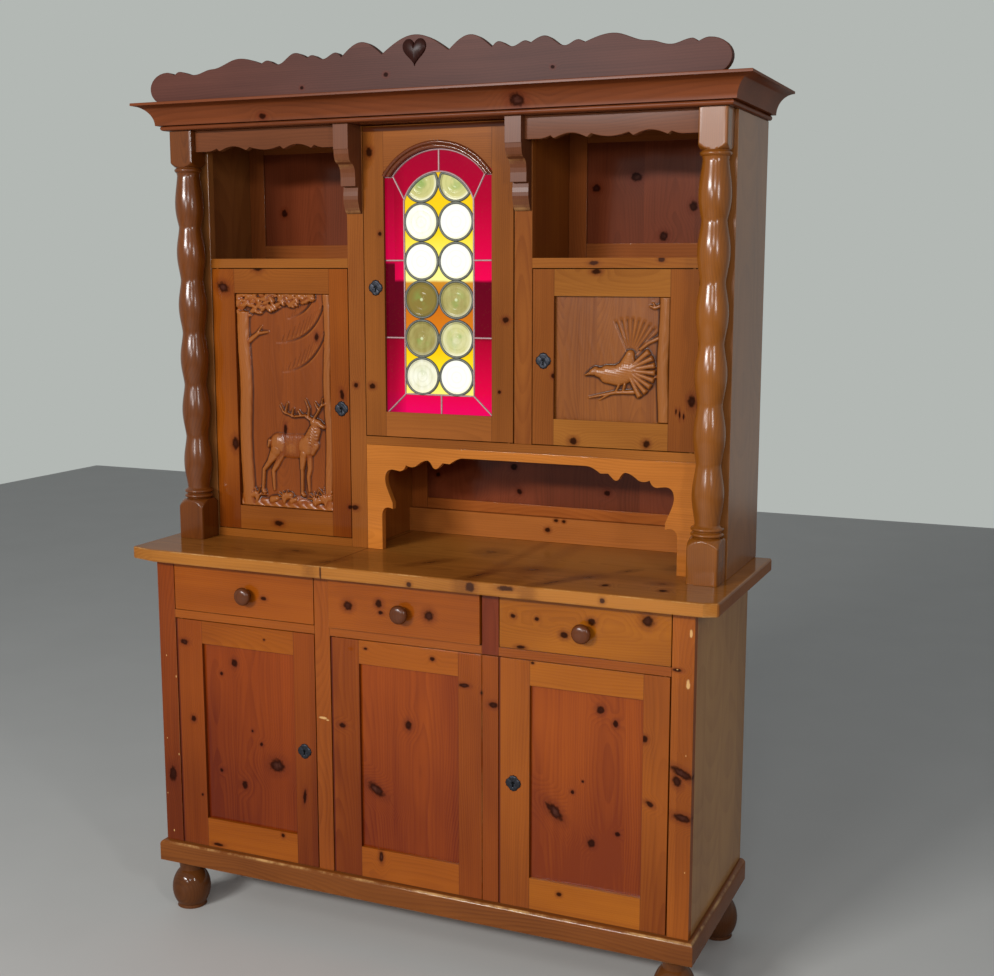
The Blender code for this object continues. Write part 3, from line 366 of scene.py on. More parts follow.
# Base case
# Bottom board, sides, face stiles, posts, drawer deck, shelves and back are glued pine boards.
# The stiles and posts show between the doors; the rest is seen when a door or drawer stands open.
BASE_FACE = -0.209
inside = pine_finish("pine_inside_base", (150, 88, 44), (112, 60, 28), 3, wear=0.2, gloss=0.2)
inside_flat = pine_finish("pine_inside_flat", (150, 88, 44), (112, 60, 28), 4, grain="flat", wear=0.2,
                          gloss=0.2)
dress("base_back", inside)
for name in ("base_bottom", "base_shelf_left", "base_shelf_right"):
    dress(name, inside_flat)
dress("base_partition",
      pine_finish("pine_base_post", (154, 78, 20), (108, 46, 8), 5, face=BASE_FACE, board=0.3, loose=0.0,
                  chips_and_glints=[(-0.212, 0.552, 0.010, 0.0032), (-0.200, 0.548, 0.004, 0.0016)]))
dress("drawer_deck",
      pine_finish("pine_drawer_deck", (160, 84, 22), (122, 56, 12), 7, grain="level", face=BASE_FACE,
                  board=0.3, loose=0.0, wear=1.0))
dress("drawer_divider", pine_finish("pine_divider", (128, 54, 22), (90, 30, 10), 6, face=BASE_FACE))
base_side = pine_finish("pine_base_side", (178, 128, 72), (144, 98, 52), 8, grain="side", board=0.14,
                        loose=0.0, gloss=0.65, film=0.2)
for side in ("left", "right"):
    dress("base_side_" + side, base_side)
dress("base_stile_left",
      pine_finish("pine_base_stile_left", (142, 64, 14), (98, 36, 6), 9, face=BASE_FACE, wear=1.0,
                  loose=0.0, redder=(0.60, 0.25, 0.35), knots=[(-0.642, 0.352, 0.011, 0.021)],
                  chips_and_glints=[(-0.622, 0.602, 0.0012, 0.003), (-0.648, 0.652, 0.0012, 0.002),
                         (-0.622, 0.405, 0.0012, 0.003), (-0.655, 0.442, 0.001, 0.002),
                         (-0.645, 0.205, 0.0015, 0.003), (-0.660, 0.300, 0.001, 0.002)]))
# The pale spots along this stile's arris are painted highlights, standing in for lamp glints on dents.
dress("base_stile_right",
      pine_finish("pine_base_stile_right", (160, 84, 20), (112, 50, 8), 10, face=BASE_FACE, loose=0.0,
                  knots=[(0.644, 0.546, 0.025, 0.010, 0.40), (0.634, 0.527, 0.010, 0.012, 0.2),
                         (0.647, 0.449, 0.020, 0.009, 0.1), (0.630, 0.766, 0.010, 0.004)],
                  chips_and_glints=[(0.652, 0.585, 0.001, 0.002), (0.655, 0.330, 0.001, 0.002),
                         (0.6575, 0.846, 0.003, 0.009), (0.6535, 0.738, 0.004, 0.010),
                         (0.630, 0.767, 0.002, 0.001)]))


# Bun feet
# Four turned pine feet, each a flattened ball under a short neck with a flared collar.
# They are doweled into the bottom and stained a little darker than the doors.
def piece(name, mesh, finish, body, stands_for=(), sharp=38.0, even=False):
    mesh.materials.append(finish)
    mesh.shade_smooth()
    mesh.set_sharp_from_angle(angle=math.radians(sharp))
    made_piece = bpy.data.objects.new(name, mesh)
    bpy.context.scene.collection.objects.link(made_piece)
    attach(made_piece, body)
    if stands_for:
        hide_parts(*stands_for)
    if even:
        made_piece.modifiers.new("even shading", "WEIGHTED_NORMAL").keep_sharp = True
    return made_piece


def mesh_of(name, spots, faces):
    mesh = bpy.data.meshes.new(name)
    mesh.from_pydata([tuple(map(float, spot)) for spot in spots], [], faces)
    mesh.update()
    return mesh


def ring_mesh(name, rings):
    count = len(rings[0])
    faces = [tuple(range(count))[::-1]]
    for level in range(len(rings) - 1):
        for k in range(count):
            low, high = level * count, (level + 1) * count
            faces.append((low + k, low + (k + 1) % count, high + (k + 1) % count, high + k))
    faces.append(tuple(range((len(rings) - 1) * count, len(rings) * count)))
    return mesh_of(name, [spot for ring in rings for spot in ring], faces)


def lathe_rings(profile, segments):
    turns = [math.tau * k / segments for k in range(segments)]
    return [[(radius * math.cos(t), radius * math.sin(t), height) for t in turns]
            for radius, height in profile]


FOOT_BALL, FOOT_BALL_HEIGHT, FOOT_NECK, FOOT_COLLAR = 0.047, 0.096, 0.027, 0.035
foot_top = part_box("bun_foot_front_left")[1][2]
foot_profile = [(0.030, 0.0), (0.036, 0.0012)]
foot_swing = math.acos(FOOT_NECK / FOOT_BALL)
for k in range(4, 37):
    angle = foot_swing * (k / 18 - 1)
    foot_profile.append((FOOT_BALL * math.cos(angle),
                         FOOT_BALL_HEIGHT / 2 * (1 + math.sin(angle) / math.sin(foot_swing))))
FLARE = 0.0224
for k in range(1, 13):
    angle = math.pi / 24 * k
    foot_profile.append((FOOT_NECK + (FOOT_COLLAR - FOOT_NECK) * (1 - math.cos(angle)),
                         FOOT_BALL_HEIGHT + FLARE * math.sin(angle)))
foot_profile.append((FOOT_COLLAR, foot_top))
foot_finish = pine_finish("pine_feet", (108, 62, 28), (74, 38, 14), 12, board=0.3, loose=0.3, wear=0.0)
for end in ("front", "back"):
    for side in ("left", "right"):
        name = "bun_foot_" + end + "_" + side
        low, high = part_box(name)
        mesh = ring_mesh(name + "_turned", lathe_rings(foot_profile, 72))
        for vertex in mesh.vertices:
            vertex.co += Vector(((low[0] + high[0]) / 2, (low[1] + high[1]) / 2, 0.0))
        piece(name + "_turned", mesh, foot_finish, "carcass", [name])


# Plinth moulding
# A planed pine moulding mitred round the front and both ends of the base, over the feet.
# Its rounded upper arris is worn pale where shoes and brooms touch it.
def moulding(name, profile, half_width, y_front, y_end):
    rings = []
    for out, height in profile:
        reach = half_width + out
        rings.append([(-reach, y_end, height), (-reach, y_front - out, height),
                      (reach, y_front - out, height), (reach, y_end, height)])
    count = len(profile)
    spots = [ring[k] for k in range(4) for ring in rings]
    faces = [tuple(range(count)), tuple(range(3 * count, 4 * count))[::-1]]
    for k in range(3):
        for n in range(count):
            m = (n + 1) % count
            faces.append((k * count + n, (k + 1) * count + n, (k + 1) * count + m, k * count + m))
    return mesh_of(name, spots, faces)


def arc(centre_out, centre_height, radius, start, end, pieces=8):
    angles = [math.radians(start + (end - start) * k / pieces) for k in range(pieces + 1)]
    return [(centre_out + radius * math.cos(a), centre_height + radius * math.sin(a)) for a in angles]


PLINTH_OUT, PLINTH_ROUND = 0.013, 0.011
base_low, base_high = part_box("plinth_moulding")
plinth_profile = [(0.0005, base_low[2])] + arc(PLINTH_OUT - 0.0015, base_low[2] + 0.0015, 0.0015, -90, 0, 4)
plinth_profile += arc(PLINTH_OUT - PLINTH_ROUND, base_high[2] - PLINTH_ROUND, PLINTH_ROUND, 0, 90)
plinth_profile += [(0.0005, base_high[2])]
plinth_finish = pine_finish("pine_plinth", (136, 76, 28), (84, 40, 12), 14, grain="level", face=-0.222,
                            board=0.2, wear=0.9, loose=0.25)
piece("plinth_moulding_planed", moulding("plinth_moulding_planed", plinth_profile, base_high[0] - PLINTH_OUT,
                                         base_low[1] + PLINTH_OUT, base_high[1]),
      plinth_finish, "carcass", ["plinth_moulding"])


# Worktop
# A 30 mm glued pine slab with clipped front corners, lying on the base and overhanging it all round.
# Its upper arris is rubbed pale, and dark streaky knots run through the surface.
dress("worktop",
      pine_finish("pine_worktop", (174, 110, 44), (114, 64, 20), 16, grain="flat", face=0.92, board=0.16,
                  wear=1.0, loose=0.0, redder=(0.9185, 0.9160, -0.18),
                  knots=[(0.458, -0.170, 0.008, 0.010), (0.585, -0.170, 0.009, 0.010)],
                  streaks=[(0.345, -0.190, 0.014, 0.060, -0.60), (0.172, -0.190, 0.012, 0.050, -0.35),
                           (0.400, -0.110, 0.022, 0.020, -0.60), (0.262, -0.090, 0.030, 0.022, -0.60),
                           (0.565, -0.110, 0.020, 0.014, -0.30), (0.460, -0.020, 0.012, 0.020, -0.50),
                           (0.018, -0.110, 0.016, 0.036, -0.60), (-0.200, -0.200, 0.014, 0.034, -0.40),
                           (-0.330, -0.120, 0.030, 0.018, 0.20), (0.100, 0.050, 0.030, 0.030, 0.10),
                           (0.560, 0.060, 0.020, 0.026, -0.30)],
                  edge_knots=[(0.033, 0.898, 0.0065, 0.006), (0.179, 0.906, 0.012, 0.011),
                              (0.262, 0.911, 0.020, 0.006), (0.478, 0.905, 0.006, 0.006),
                              (-0.190, 0.904, 0.0022, 0.016)], end_grain=0.6), ease=0.0042)


# Drawers
# Three drawers slide in the base: a solid pine front, a plain nailed box behind it and one turned knob.
# The centre drawer stands a finger's breadth ajar.
box_finish = pine_finish("pine_drawer_box", (172, 112, 60), (132, 78, 38), 18, grain="flat", wear=0.2,
                         gloss=0.1)
drawer_looks = {"left": ((152, 76, 14), (108, 44, 6), [(-0.366, 0.820, 0.008, 0.005)], 0.209),
                "centre": ((154, 78, 16), (110, 46, 8),
                           [(-0.137, 0.8275, 0.012, 0.011), (-0.058, 0.840, 0.009, 0.009),
                            (-0.053, 0.820, 0.006, 0.005), (0.0665, 0.825, 0.012, 0.012)], 0.217),
                "right": ((164, 94, 18), (120, 58, 8),
                          [(0.264, 0.843, 0.006, 0.005), (0.319, 0.842, 0.005, 0.0045),
                           (0.381, 0.813, 0.009, 0.008), (0.443, 0.848, 0.009, 0.008),
                           (0.565, 0.862, 0.013, 0.012), (0.282, 0.776, 0.011, 0.004)], 0.209)}
KNOB_RADIUS, KNOB_STEM, KNOB_OUT, KNOB_COLLAR = 0.0215, 0.0095, 0.028, 0.004


def eased_path(start, steps, pieces):
    path = [start]
    for step in steps:
        here = path[-1]
        end = step[-1]
        if len(step) == 1:
            path.append(end)
            continue
        for k in range(1, pieces + 1):
            t = k / pieces
            path.append(tuple((1 - t) ** 2 * here[i]
                              + 2 * t * (1 - t) * step[0][i] + t * t * end[i] for i in (0, 1)))
    return path


knob_profile = eased_path((0.002, 0.0),
                          [((KNOB_RADIUS * 0.60, 0.0),),
                           ((KNOB_RADIUS * 0.66, KNOB_COLLAR * 0.5), (KNOB_RADIUS * 0.60, KNOB_COLLAR)),
                           ((KNOB_STEM, KNOB_COLLAR), (KNOB_STEM, KNOB_OUT * 0.30)),
                           ((KNOB_RADIUS * 0.95, KNOB_OUT * 0.32), (KNOB_RADIUS, KNOB_OUT * 0.60)),
                           ((KNOB_RADIUS * 0.98, KNOB_OUT), (0.0012, KNOB_OUT))], 12)
knob_finish = pine_finish("pine_knobs", (100, 50, 18), (62, 28, 10), 21, board=0.3, loose=0.0, wear=0.0,
                          gloss=0.7, film=0.24)
for number, (side, (pale, deep, knots, face)) in enumerate(drawer_looks.items()):
    body = "drawer_" + side
    dress(body + "_box", box_finish, ease=0.0006)
    dress(body + "_front",
          pine_finish("pine_drawer_" + side, pale, deep, 30 + number * 3, grain="level", face=-face,
                      board=0.3, loose=0.0, knots=knots), ease=0.0020)
    low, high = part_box(body + "_knob")
    mesh = ring_mesh(body + "_knob_turned", lathe_rings(knob_profile, 64))
    for vertex in mesh.vertices:
        out = vertex.co.z
        vertex.co = Vector(((low[0] + high[0]) / 2 + vertex.co.x, high[1] - out,
                            (low[2] + high[2]) / 2 + vertex.co.y))
    piece(body + "_knob_turned", mesh, knob_finish, body, [body + "_knob"], sharp=50)


# Base doors
# Each door is a mortised frame of two stiles and two rails round a loose pine panel, turning on pins.
# The panels are redder than the frames, and the joints between rails and stiles show as fine dark lines.
door_looks = {"left": (-0.543, -0.2885, (142, 66, 12), (98, 36, 4), (160, 84, 14), (118, 52, 6),
                       (144, 62, 12), (98, 32, 8),
                       [(-0.458, 0.652, 0.0085, 0.010), (-0.495, 0.622, 0.0045, 0.005),
                        (-0.345, 0.414, 0.021, 0.017), (-0.438, 0.352, 0.0085, 0.010),
                        (-0.504, 0.379, 0.0045, 0.005), (-0.388, 0.460, 0.0045, 0.005),
                        (-0.412, 0.490, 0.003, 0.003)],
                       [(-0.575, 0.502, 0.007, 0.008), (-0.594, 0.692, 0.011, 0.007),
                        (-0.266, 0.352, 0.005, 0.016, -1.0), (-0.556, 0.312, 0.0035, 0.0035)],
                       [(-0.329, 0.2446, 0.005, 0.005), (-0.515, 0.190, 0.014, 0.004),
                        (-0.368, 0.721, 0.003, 0.003)]),
              "centre": (-0.1155, 0.1335, (154, 76, 16), (110, 44, 6), (158, 82, 16), (116, 52, 8),
                         (154, 70, 14), (106, 36, 10),
                         [(0.0055, 0.561, 0.009, 0.011), (-0.080, 0.396, 0.022, 0.0130, 0.45)],
                         [(-0.161, 0.541, 0.009, 0.006), (0.147, 0.674, 0.013, 0.005),
                          (0.218, 0.638, 0.011, 0.007), (0.190, 0.662, 0.003, 0.004)],
                         [(-0.0645, 0.238, 0.006, 0.013), (-0.135, 0.7256, 0.007, 0.004),
                          (-0.098, 0.73, 0.005, 0.003), (0.070, 0.7253, 0.006, 0.005)]),
              "right": (0.3035, 0.559, (154, 80, 18), (110, 48, 8), (174, 98, 20), (130, 64, 10),
                        (164, 78, 14), (116, 44, 10),
                        [(0.462, 0.657, 0.009, 0.009), (0.496, 0.63, 0.006, 0.008),
                         (0.359, 0.415, 0.0195, 0.0150, 0.62), (0.445, 0.356, 0.009, 0.010),
                         (0.4005, 0.4646, 0.0045, 0.0045), (0.424, 0.492, 0.003, 0.003),
                         (0.5035, 0.386, 0.006, 0.005)],
                        [(0.5626, 0.6087, 0.007, 0.008), (0.576, 0.4685, 0.009, 0.006, 0.3)],
                        [(0.374, 0.229, 0.006, 0.005), (0.310, 0.744, 0.004, 0.003)])}
hinge_sides = {"left": -0.615, "centre": -0.1875, "right": 0.2315}
for number, (side, looks) in enumerate(door_looks.items()):
    left, right, pale, deep, rail_pale, rail_deep, panel_pale, panel_deep = looks[:8]
    panel_knots, stile_knots, rail_knots = looks[8:]
    name = "base_door_" + side
    # The dark band along each frame's hinge edge is painted shade of the gap beside the stile.
    dress(name + "_frame",
          pine_finish("pine_" + name, pale, deep, 40 + number * 7, face=BASE_FACE, board=0.3, loose=0.0,
                      knots=stile_knots, rails=(left, right, rail_pale, rail_deep), rail_knots=rail_knots,
                      redder=(0.56, 0.20, 0.34), gap_shadows=[(hinge_sides[side], 0.0045)]), ease=0.0015)
    dress(name + "_panel", pine_finish("pine_" + name + "_panel", panel_pale, panel_deep, 43 + number * 7,
                                       face=BASE_FACE, board=0.13, loose=0.0, knots=panel_knots,
                                       redder=(0.66, 0.24, 0.50)))


# Upper case
# Sides with corner stiles, partitions with face stiles, floors, shelf, roof and back, of glued pine boards.
# The back boards of the open niches stand upright and keep their knots.
UPPER_FACE = -0.026
upper_side = pine_finish("pine_upper_side", (150, 94, 46), (114, 66, 32), 61, grain="side", board=0.14,
                         loose=0.0, gloss=0.65, film=0.2)
for side in ("left", "right"):
    dress("upper_side_" + side, upper_side)
    dress("upper_partition_" + side,
          pine_finish("pine_upper_stile_" + side, (150, 86, 32), (110, 54, 18),
                      63 if side == "left" else 65, face=UPPER_FACE, board=0.2, loose=0.0,
                      knots=[(-0.214, 1.308, 0.006, 0.006), (-0.222, 1.016, 0.010, 0.006)]))
dress("upper_back",
      pine_finish("pine_upper_back", (122, 58, 32), (84, 38, 20), 67, face=0.234, board=0.12, loose=0.05,
                  wear=0.0,
                  knots=[(-0.562, 1.718, 0.009, 0.010), (0.286, 1.763, 0.010, 0.009),
                         (0.0795, 1.0966, 0.010, 0.008), (0.094, 1.036, 0.007, 0.007),
                         (0.009, 0.998, 0.008, 0.007), (-0.128, 1.066, 0.007, 0.006),
                         (0.322, 1.047, 0.008, 0.007), (0.383, 1.786, 0.014, 0.011),
                         (0.519, 1.718, 0.010, 0.012), (0.450, 1.652, 0.011, 0.011)]))
upper_floor = pine_finish("pine_upper_floor", (158, 94, 34), (116, 60, 18), 69, grain="flat", face=1.17,
                          board=0.2, loose=0.0)
for name in ("left_cupboard_floor", "centre_floor", "niche_floor_left", "glass_cupboard_shelf"):
    dress(name, upper_floor)
low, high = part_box("niche_floor_right")
dress("niche_floor_right",
      pine_finish("pine_niche_floor_right", (158, 94, 34), (116, 60, 18), 70, grain="flat", face=1.6,
                  board=0.2, loose=0.0,
                  edge_knots=[(0.374, (low[2] + high[2]) / 2, 0.011, 0.005),
                              (0.525, high[2] - 0.003, 0.008, 0.006)]))
dress("roof_board",
      pine_finish("pine_roof", (112, 60, 34), (78, 40, 22), 71, grain="flat", face=1.9, board=0.2))
dress("niche_skirting",
      pine_finish("pine_skirting", (176, 104, 46), (130, 70, 28), 73, grain="level", face=0.214, board=0.2,
                  knots=[(0.199, 0.975, 0.006, 0.004), (0.219, 0.974, 0.005, 0.004),
                         (0.177, 0.950, 0.007, 0.006)]))


# Frames of the back
# Flat pine stiles and rails, tongued to the panels and a little proud of them, show inside the open niches.
# They are paler than the back panels.
FRAME_PROUD, FRAME_STILE, FRAME_RAIL, LOW_RAIL_SHOWING = 0.006, 0.044, 0.034, 0.026
FRAME_PLAY, FRAME_GAP = 0.0005, 0.0002
back_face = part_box("upper_back")[0][1]


def frame_mesh(name, x0, x1, z0, z1, stile, low_rail, high_rail, y_front, y_back):
    bm = bmesh.new()
    for left, right, low, high in ((x0, x0 + stile, z0, z1), (x1 - stile, x1, z0, z1),
                                   (x0 + stile, x1 - stile, z0, z0 + low_rail),
                                   (x0 + stile, x1 - stile, z1 - high_rail, z1)):
        face = bm.faces.new([bm.verts.new((x, y_front, z))
                             for x, z in ((left, low), (right, low), (right, high), (left, high))])
        grown = bmesh.ops.extrude_face_region(bm, geom=[face])["geom"]
        bmesh.ops.translate(bm, verts=[spot for spot in grown if isinstance(spot, bmesh.types.BMVert)],
                            vec=(0.0, y_back - y_front, 0.0))
    bmesh.ops.recalc_face_normals(bm, faces=bm.faces)
    bmesh.ops.bevel(bm, geom=list(bm.edges), offset=0.0008, segments=2, profile=0.5, affect="EDGES",
                    clamp_overlap=True)
    mesh = bpy.data.meshes.new(name)
    bm.to_mesh(mesh)
    bm.free()
    return mesh


niche_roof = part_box("roof_board")[0][2]
for side, seed in (("left", 76), ("right", 77)):
    name = "niche_frame_" + side
    low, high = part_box("niche_floor_" + side)
    x0, x1 = low[0] + FRAME_PLAY, high[0] - FRAME_PLAY
    frame_finish = pine_finish("pine_" + name, (150, 82, 38), (108, 54, 24), seed, face=back_face,
                               board=0.3, loose=0.0, wear=0.0, gloss=0.2,
                               rails=(x0 + FRAME_STILE, x1 - FRAME_STILE, (150, 84, 40), (108, 54, 24)))
    piece(name,
          frame_mesh(name, x0, x1, high[2] + FRAME_PLAY, niche_roof - FRAME_PLAY, FRAME_STILE, FRAME_RAIL,
                     FRAME_RAIL, back_face - FRAME_PROUD, back_face - FRAME_GAP), frame_finish, "carcass",
          even=True)
low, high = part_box("niche_skirting")
frame_finish = pine_finish("pine_niche_frame_low", (176, 98, 42), (130, 66, 26), 78, face=back_face,
                           board=0.3, loose=0.0, wear=0.0, gloss=0.2,
                           rails=(low[0] + FRAME_STILE, high[0] - FRAME_STILE, (176, 98, 42),
                                  (130, 66, 26)))
piece("niche_frame_low",
      frame_mesh("niche_frame_low", low[0] + FRAME_PLAY, high[0] - FRAME_PLAY, high[2] + FRAME_PLAY,
                 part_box("centre_floor")[0][2] - FRAME_PLAY, FRAME_STILE, LOW_RAIL_SHOWING, FRAME_RAIL,
                 back_face - FRAME_PROUD, back_face - FRAME_GAP), frame_finish, "carcass",
      even=True)


# Apron
# A pine board with the wide scalloped opening of the lower niche, let in between the stiles under the floor.
# Its edge is sawn in ogees and cusps and eased by hand.
def cut_board(name, outline, axis, low, high, arris=0.0013):
    bm = bmesh.new()
    if axis == "y":
        front = [bm.verts.new((a, low, b)) for a, b in outline]
        push = Vector((0.0, high - low, 0.0))
    else:
        front = [bm.verts.new((low, a, b)) for a, b in outline]
        push = Vector((high - low, 0.0, 0.0))
    face = bm.faces.new(front)
    grown = bmesh.ops.extrude_face_region(bm, geom=[face])["geom"]
    bmesh.ops.translate(bm, verts=[spot for spot in grown if isinstance(spot, bmesh.types.BMVert)], vec=push)
    bmesh.ops.recalc_face_normals(bm, faces=bm.faces)
    big = sorted(bm.faces, key=lambda f: -len(f.verts))[:2]
    rims = list({edge for f in big for edge in f.edges})
    bmesh.ops.bevel(bm, geom=rims, offset=arris, segments=2, profile=0.5, affect="EDGES", clamp_overlap=True)
    mesh = bpy.data.meshes.new(name)
    bm.to_mesh(mesh)
    bm.free()
    return mesh


apron_low, apron_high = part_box("niche_apron")
apron_middle = (apron_low[0] + apron_high[0]) / 2
half_edge = eased_path((0.0, 0.229), [((0.150, 0.229),), ((0.163, 0.229), (0.183, 0.214)), ((0.201, 0.215),),
                                      ((0.213, 0.203),), ((0.221, 0.197), (0.227, 0.205)),
                                      ((0.235, 0.221), (0.243, 0.219)), ((0.255, 0.217), (0.270, 0.204)),
                                      ((0.282, 0.198), (0.296, 0.205)), ((0.300, 0.191), (0.313, 0.190)),
                                      ((0.322, 0.192), (0.333, 0.193)), ((0.350, 0.192), (0.351, 0.170)),
                                      ((0.351, 0.158), (0.343, 0.140)), ((0.332, 0.114),), ((0.332, 0.099),),
                                      ((0.341, 0.103), (0.349, 0.101)), ((0.358, 0.098), (0.360, 0.084)),
                                      ((0.360, 0.0),)], 6)
opening = [(apron_middle - dx, apron_low[2] + dz) for dx, dz in reversed(half_edge)]
opening += [(apron_middle + dx, apron_low[2] + dz) for dx, dz in half_edge[1:]]
apron = opening + [(apron_high[0], apron_low[2]), (apron_high[0], apron_high[2]),
                   (apron_low[0], apron_high[2]), (apron_low[0], apron_low[2])]
apron_finish = pine_finish("pine_apron", (202, 122, 48), (150, 84, 26), 75, grain="level", face=UPPER_FACE,
                           board=0.3, wear=0.3)
piece("niche_apron_cut", cut_board("niche_apron_cut", apron, "y", apron_low[1], apron_high[1]),
      apron_finish, "carcass", ["niche_apron"], even=True)


# Columns
# Two pine columns glued on the corner stiles, with square blocks at foot and head, rings and six bulges.
# They are turned from square stock, so the shoulders of the blocks show rounded arcs where the lathe cut in.
SQUARE_POWER = 16
WAIST, BULGE, RING_HEIGHT = 0.0268, 0.0342, 0.012
FOOT_HALF, FOOT_SHOULDER, FOOT_RING = 0.035, 0.034, 0.0352
HEAD_HALF, HEAD_SHOULDER, HEAD_RING = 0.031, 0.028, 0.0332
Z_FOOT, Z_FOOT_TOP, Z_BULGE_LOW, Z_BULGE_HIGH, Z_HEAD_LOW, Z_HEAD = 0.9205, 1.017, 1.045, 1.803, 1.817, 1.8995
BULGES, COLUMN_SEGMENTS = 6, 120
COLUMN_X, COLUMN_Y, Z_MIDDLE = 0.645, -0.057, 1.4
BLOCK_CORNER, FOOT_FRONT, FOOT_BACK = 0.0600, 0.039, 0.031
column_line = [(BLOCK_CORNER, z) for z in (Z_FOOT, Z_FOOT + 0.001, 0.94, 0.96, 0.978)]
for k in range(15):
    share = k / 14
    column_line.append((FOOT_HALF * math.sqrt(2.35 - 1.35 * share ** 2),
                        Z_FOOT_TOP - FOOT_SHOULDER * (1 - share)))
column_line.append((WAIST + 0.002, Z_FOOT_TOP + 0.0008))
for k in range(18):
    bead = abs(math.sin(math.pi * (k + 0.5) / 9)) ** 0.7
    column_line.append((WAIST + (FOOT_RING - WAIST) * bead,
                        Z_FOOT_TOP + 0.0016 + 2 * RING_HEIGHT * (k + 0.5) / 18))
pitch = (Z_BULGE_HIGH - Z_BULGE_LOW) / BULGES
for n in range(BULGES):
    for k in range(24):
        share = (k / 24) ** (0.78 if n == BULGES - 1 else 1.0)
        column_line.append((WAIST + (BULGE - WAIST) * math.sin(math.pi * share) ** 1.4,
                            Z_BULGE_LOW + pitch * (n + k / 24)))
for k in range(10):
    bead = math.sin(math.pi * (k + 0.5) / 10) ** 0.7
    column_line.append((WAIST + (HEAD_RING - WAIST) * bead,
                        Z_BULGE_HIGH + (RING_HEIGHT + 0.001) * (k + 0.5) / 10))
column_line.append((WAIST + 0.002, Z_HEAD_LOW - 0.0004))
for k in range(15):
    share = 1 - k / 14
    column_line.append((HEAD_HALF * math.sqrt(2.35 - 1.35 * share ** 2),
                        Z_HEAD_LOW + HEAD_SHOULDER * (1 - share)))
column_line += [(BLOCK_CORNER, z) for z in (1.86, 1.88, Z_HEAD - 0.001, Z_HEAD)]
for side, sign, pale, deep in (("left", -1, (116, 60, 16), (74, 35, 8)),
                               ("right", 1, (140, 80, 22), (96, 50, 12))):
    name = "column_" + side
    column_finish = pine_finish("pine_" + name, pale, deep, 81 + sign, board=0.3, loose=0.12, wear=0.0,
                                gloss=0.85, film=0.20)
    axis_x, axis_y = sign * COLUMN_X, COLUMN_Y
    rings = []
    for radius, z in column_line:
        ring = []
        for k in range(COLUMN_SEGMENTS):
            t = math.tau * (k + 0.5) / COLUMN_SEGMENTS
            c, s = math.cos(t), math.sin(t)
            half_x = FOOT_HALF if z < Z_MIDDLE else HEAD_HALF
            half_y = half_x if z > Z_MIDDLE else (FOOT_FRONT if s < 0 else FOOT_BACK)
            spread = (abs(c) / half_x) ** SQUARE_POWER + (abs(s) / half_y) ** SQUARE_POWER
            square = spread ** (-1 / SQUARE_POWER)
            reach = radius if Z_FOOT_TOP < z < Z_HEAD_LOW else min(radius, square - 0.0004)
            ring.append((axis_x + reach * c, axis_y + reach * s, z))
        rings.append(ring)
    piece(name + "_turned", ring_mesh(name + "_turned", rings), column_finish, "carcass",
          [name], sharp=32)


# Corbels
# Two brackets glued on the middle stiles, sawn from thick pine in a swan-neck profile, carry the cornice.
# Their square faces have a pale, rubbed gloss.
corbel_finish = pine_finish("pine_corbels", (112, 64, 38), (80, 42, 24), 83, board=0.2, wear=0.4,
                            gloss=0.35, film=0.3)
for side in ("left", "right"):
    dress("corbel_" + side, corbel_finish, ease=0.0012)


# Valances
# Two thin scalloped pine boards across the tops of the open niches, set back between column and corbel.
# They are sawn with one symmetrical wavy edge each and glued up under the roof board.
def waved(stations, pieces):
    path = [stations[0][:2]]
    for (x0, z0, round0), (x1, z1, round1) in zip(stations, stations[1:]):
        count = pieces if round0 or round1 else 1
        for k in range(1, count + 1):
            t = k / count
            rise = t
            if round0 and round1:
                rise = (1 - math.cos(math.pi * t)) / 2
            elif round0:
                rise = 1 - math.cos(math.pi * t / 2)
            elif round1:
                rise = math.sin(math.pi * t / 2)
            path.append((x0 + (x1 - x0) * t, z0 + (z1 - z0) * rise))
    return path


half_wave = [(0.0, 0.0, True), (0.215, 0.007, False), (0.265, 0.0, False), (0.450, 0.010, True),
             (0.650, 0.0, False), (0.690, 0.006, False), (0.820, 0.0, True), (1.0, 0.0, False)]
valance_finish = pine_finish("pine_valances", (120, 68, 40), (84, 46, 26), 85, grain="level", face=-0.07,
                             board=0.2, wear=0.3)
for side in ("left", "right"):
    name = "valance_" + side
    low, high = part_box(name)
    middle, reach = (low[0] + high[0]) / 2, (high[0] - low[0]) / 2
    wave = waved(half_wave, 9)
    edge = [(middle - reach * u, low[2] + z) for u, z in reversed(wave)]
    edge += [(middle + reach * u, low[2] + z) for u, z in wave[1:]]
    edge += [(high[0], high[2]), (low[0], high[2])]
    piece(name + "_cut", cut_board(name + "_cut", edge, "y", low[1], high[1]), valance_finish, "carcass",
          [name], even=True)


# Cornice
# A planed pine crown mitred round the front and both ends, and nailed to the roof board.
# From below it has a small bead, a deep cove and a thin fillet.
low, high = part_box("cornice")
UPPER_HALF, ROOF_FRONT, BEAD, LEDGE, CROWN_OUT, COVE_TOP = 0.682, -0.094, 0.011, 0.016, 0.056, 1.955
bead_arc = [(BEAD * (0.2 + 0.5 * math.sin(math.pi * k / 12)),
             low[2] + BEAD * (1 - math.cos(math.pi * k / 12)) / 2) for k in range(13)]
cove = [(LEDGE + (CROWN_OUT - LEDGE) * (1 - math.cos(math.pi * k / 32)),
         low[2] + BEAD + (COVE_TOP - low[2] - BEAD) * math.sin(math.pi * k / 32)) for k in range(17)]
cornice_profile = [(0.0005, low[2])] + bead_arc + cove
cornice_profile += arc(CROWN_OUT - 0.0015, high[2] - 0.0015, 0.0015, 0, 90, 4) + [(0.0005, high[2])]
cornice_finish = pine_finish("pine_cornice", (128, 66, 34), (86, 42, 20), 87, grain="level", face=-0.12,
                             board=0.2, loose=0.05, wear=0.0, gloss=0.28, film=0.3,
                             knots=[(0.230, 1.928, 0.018, 0.014), (-0.3985, 1.921, 0.009, 0.007)])
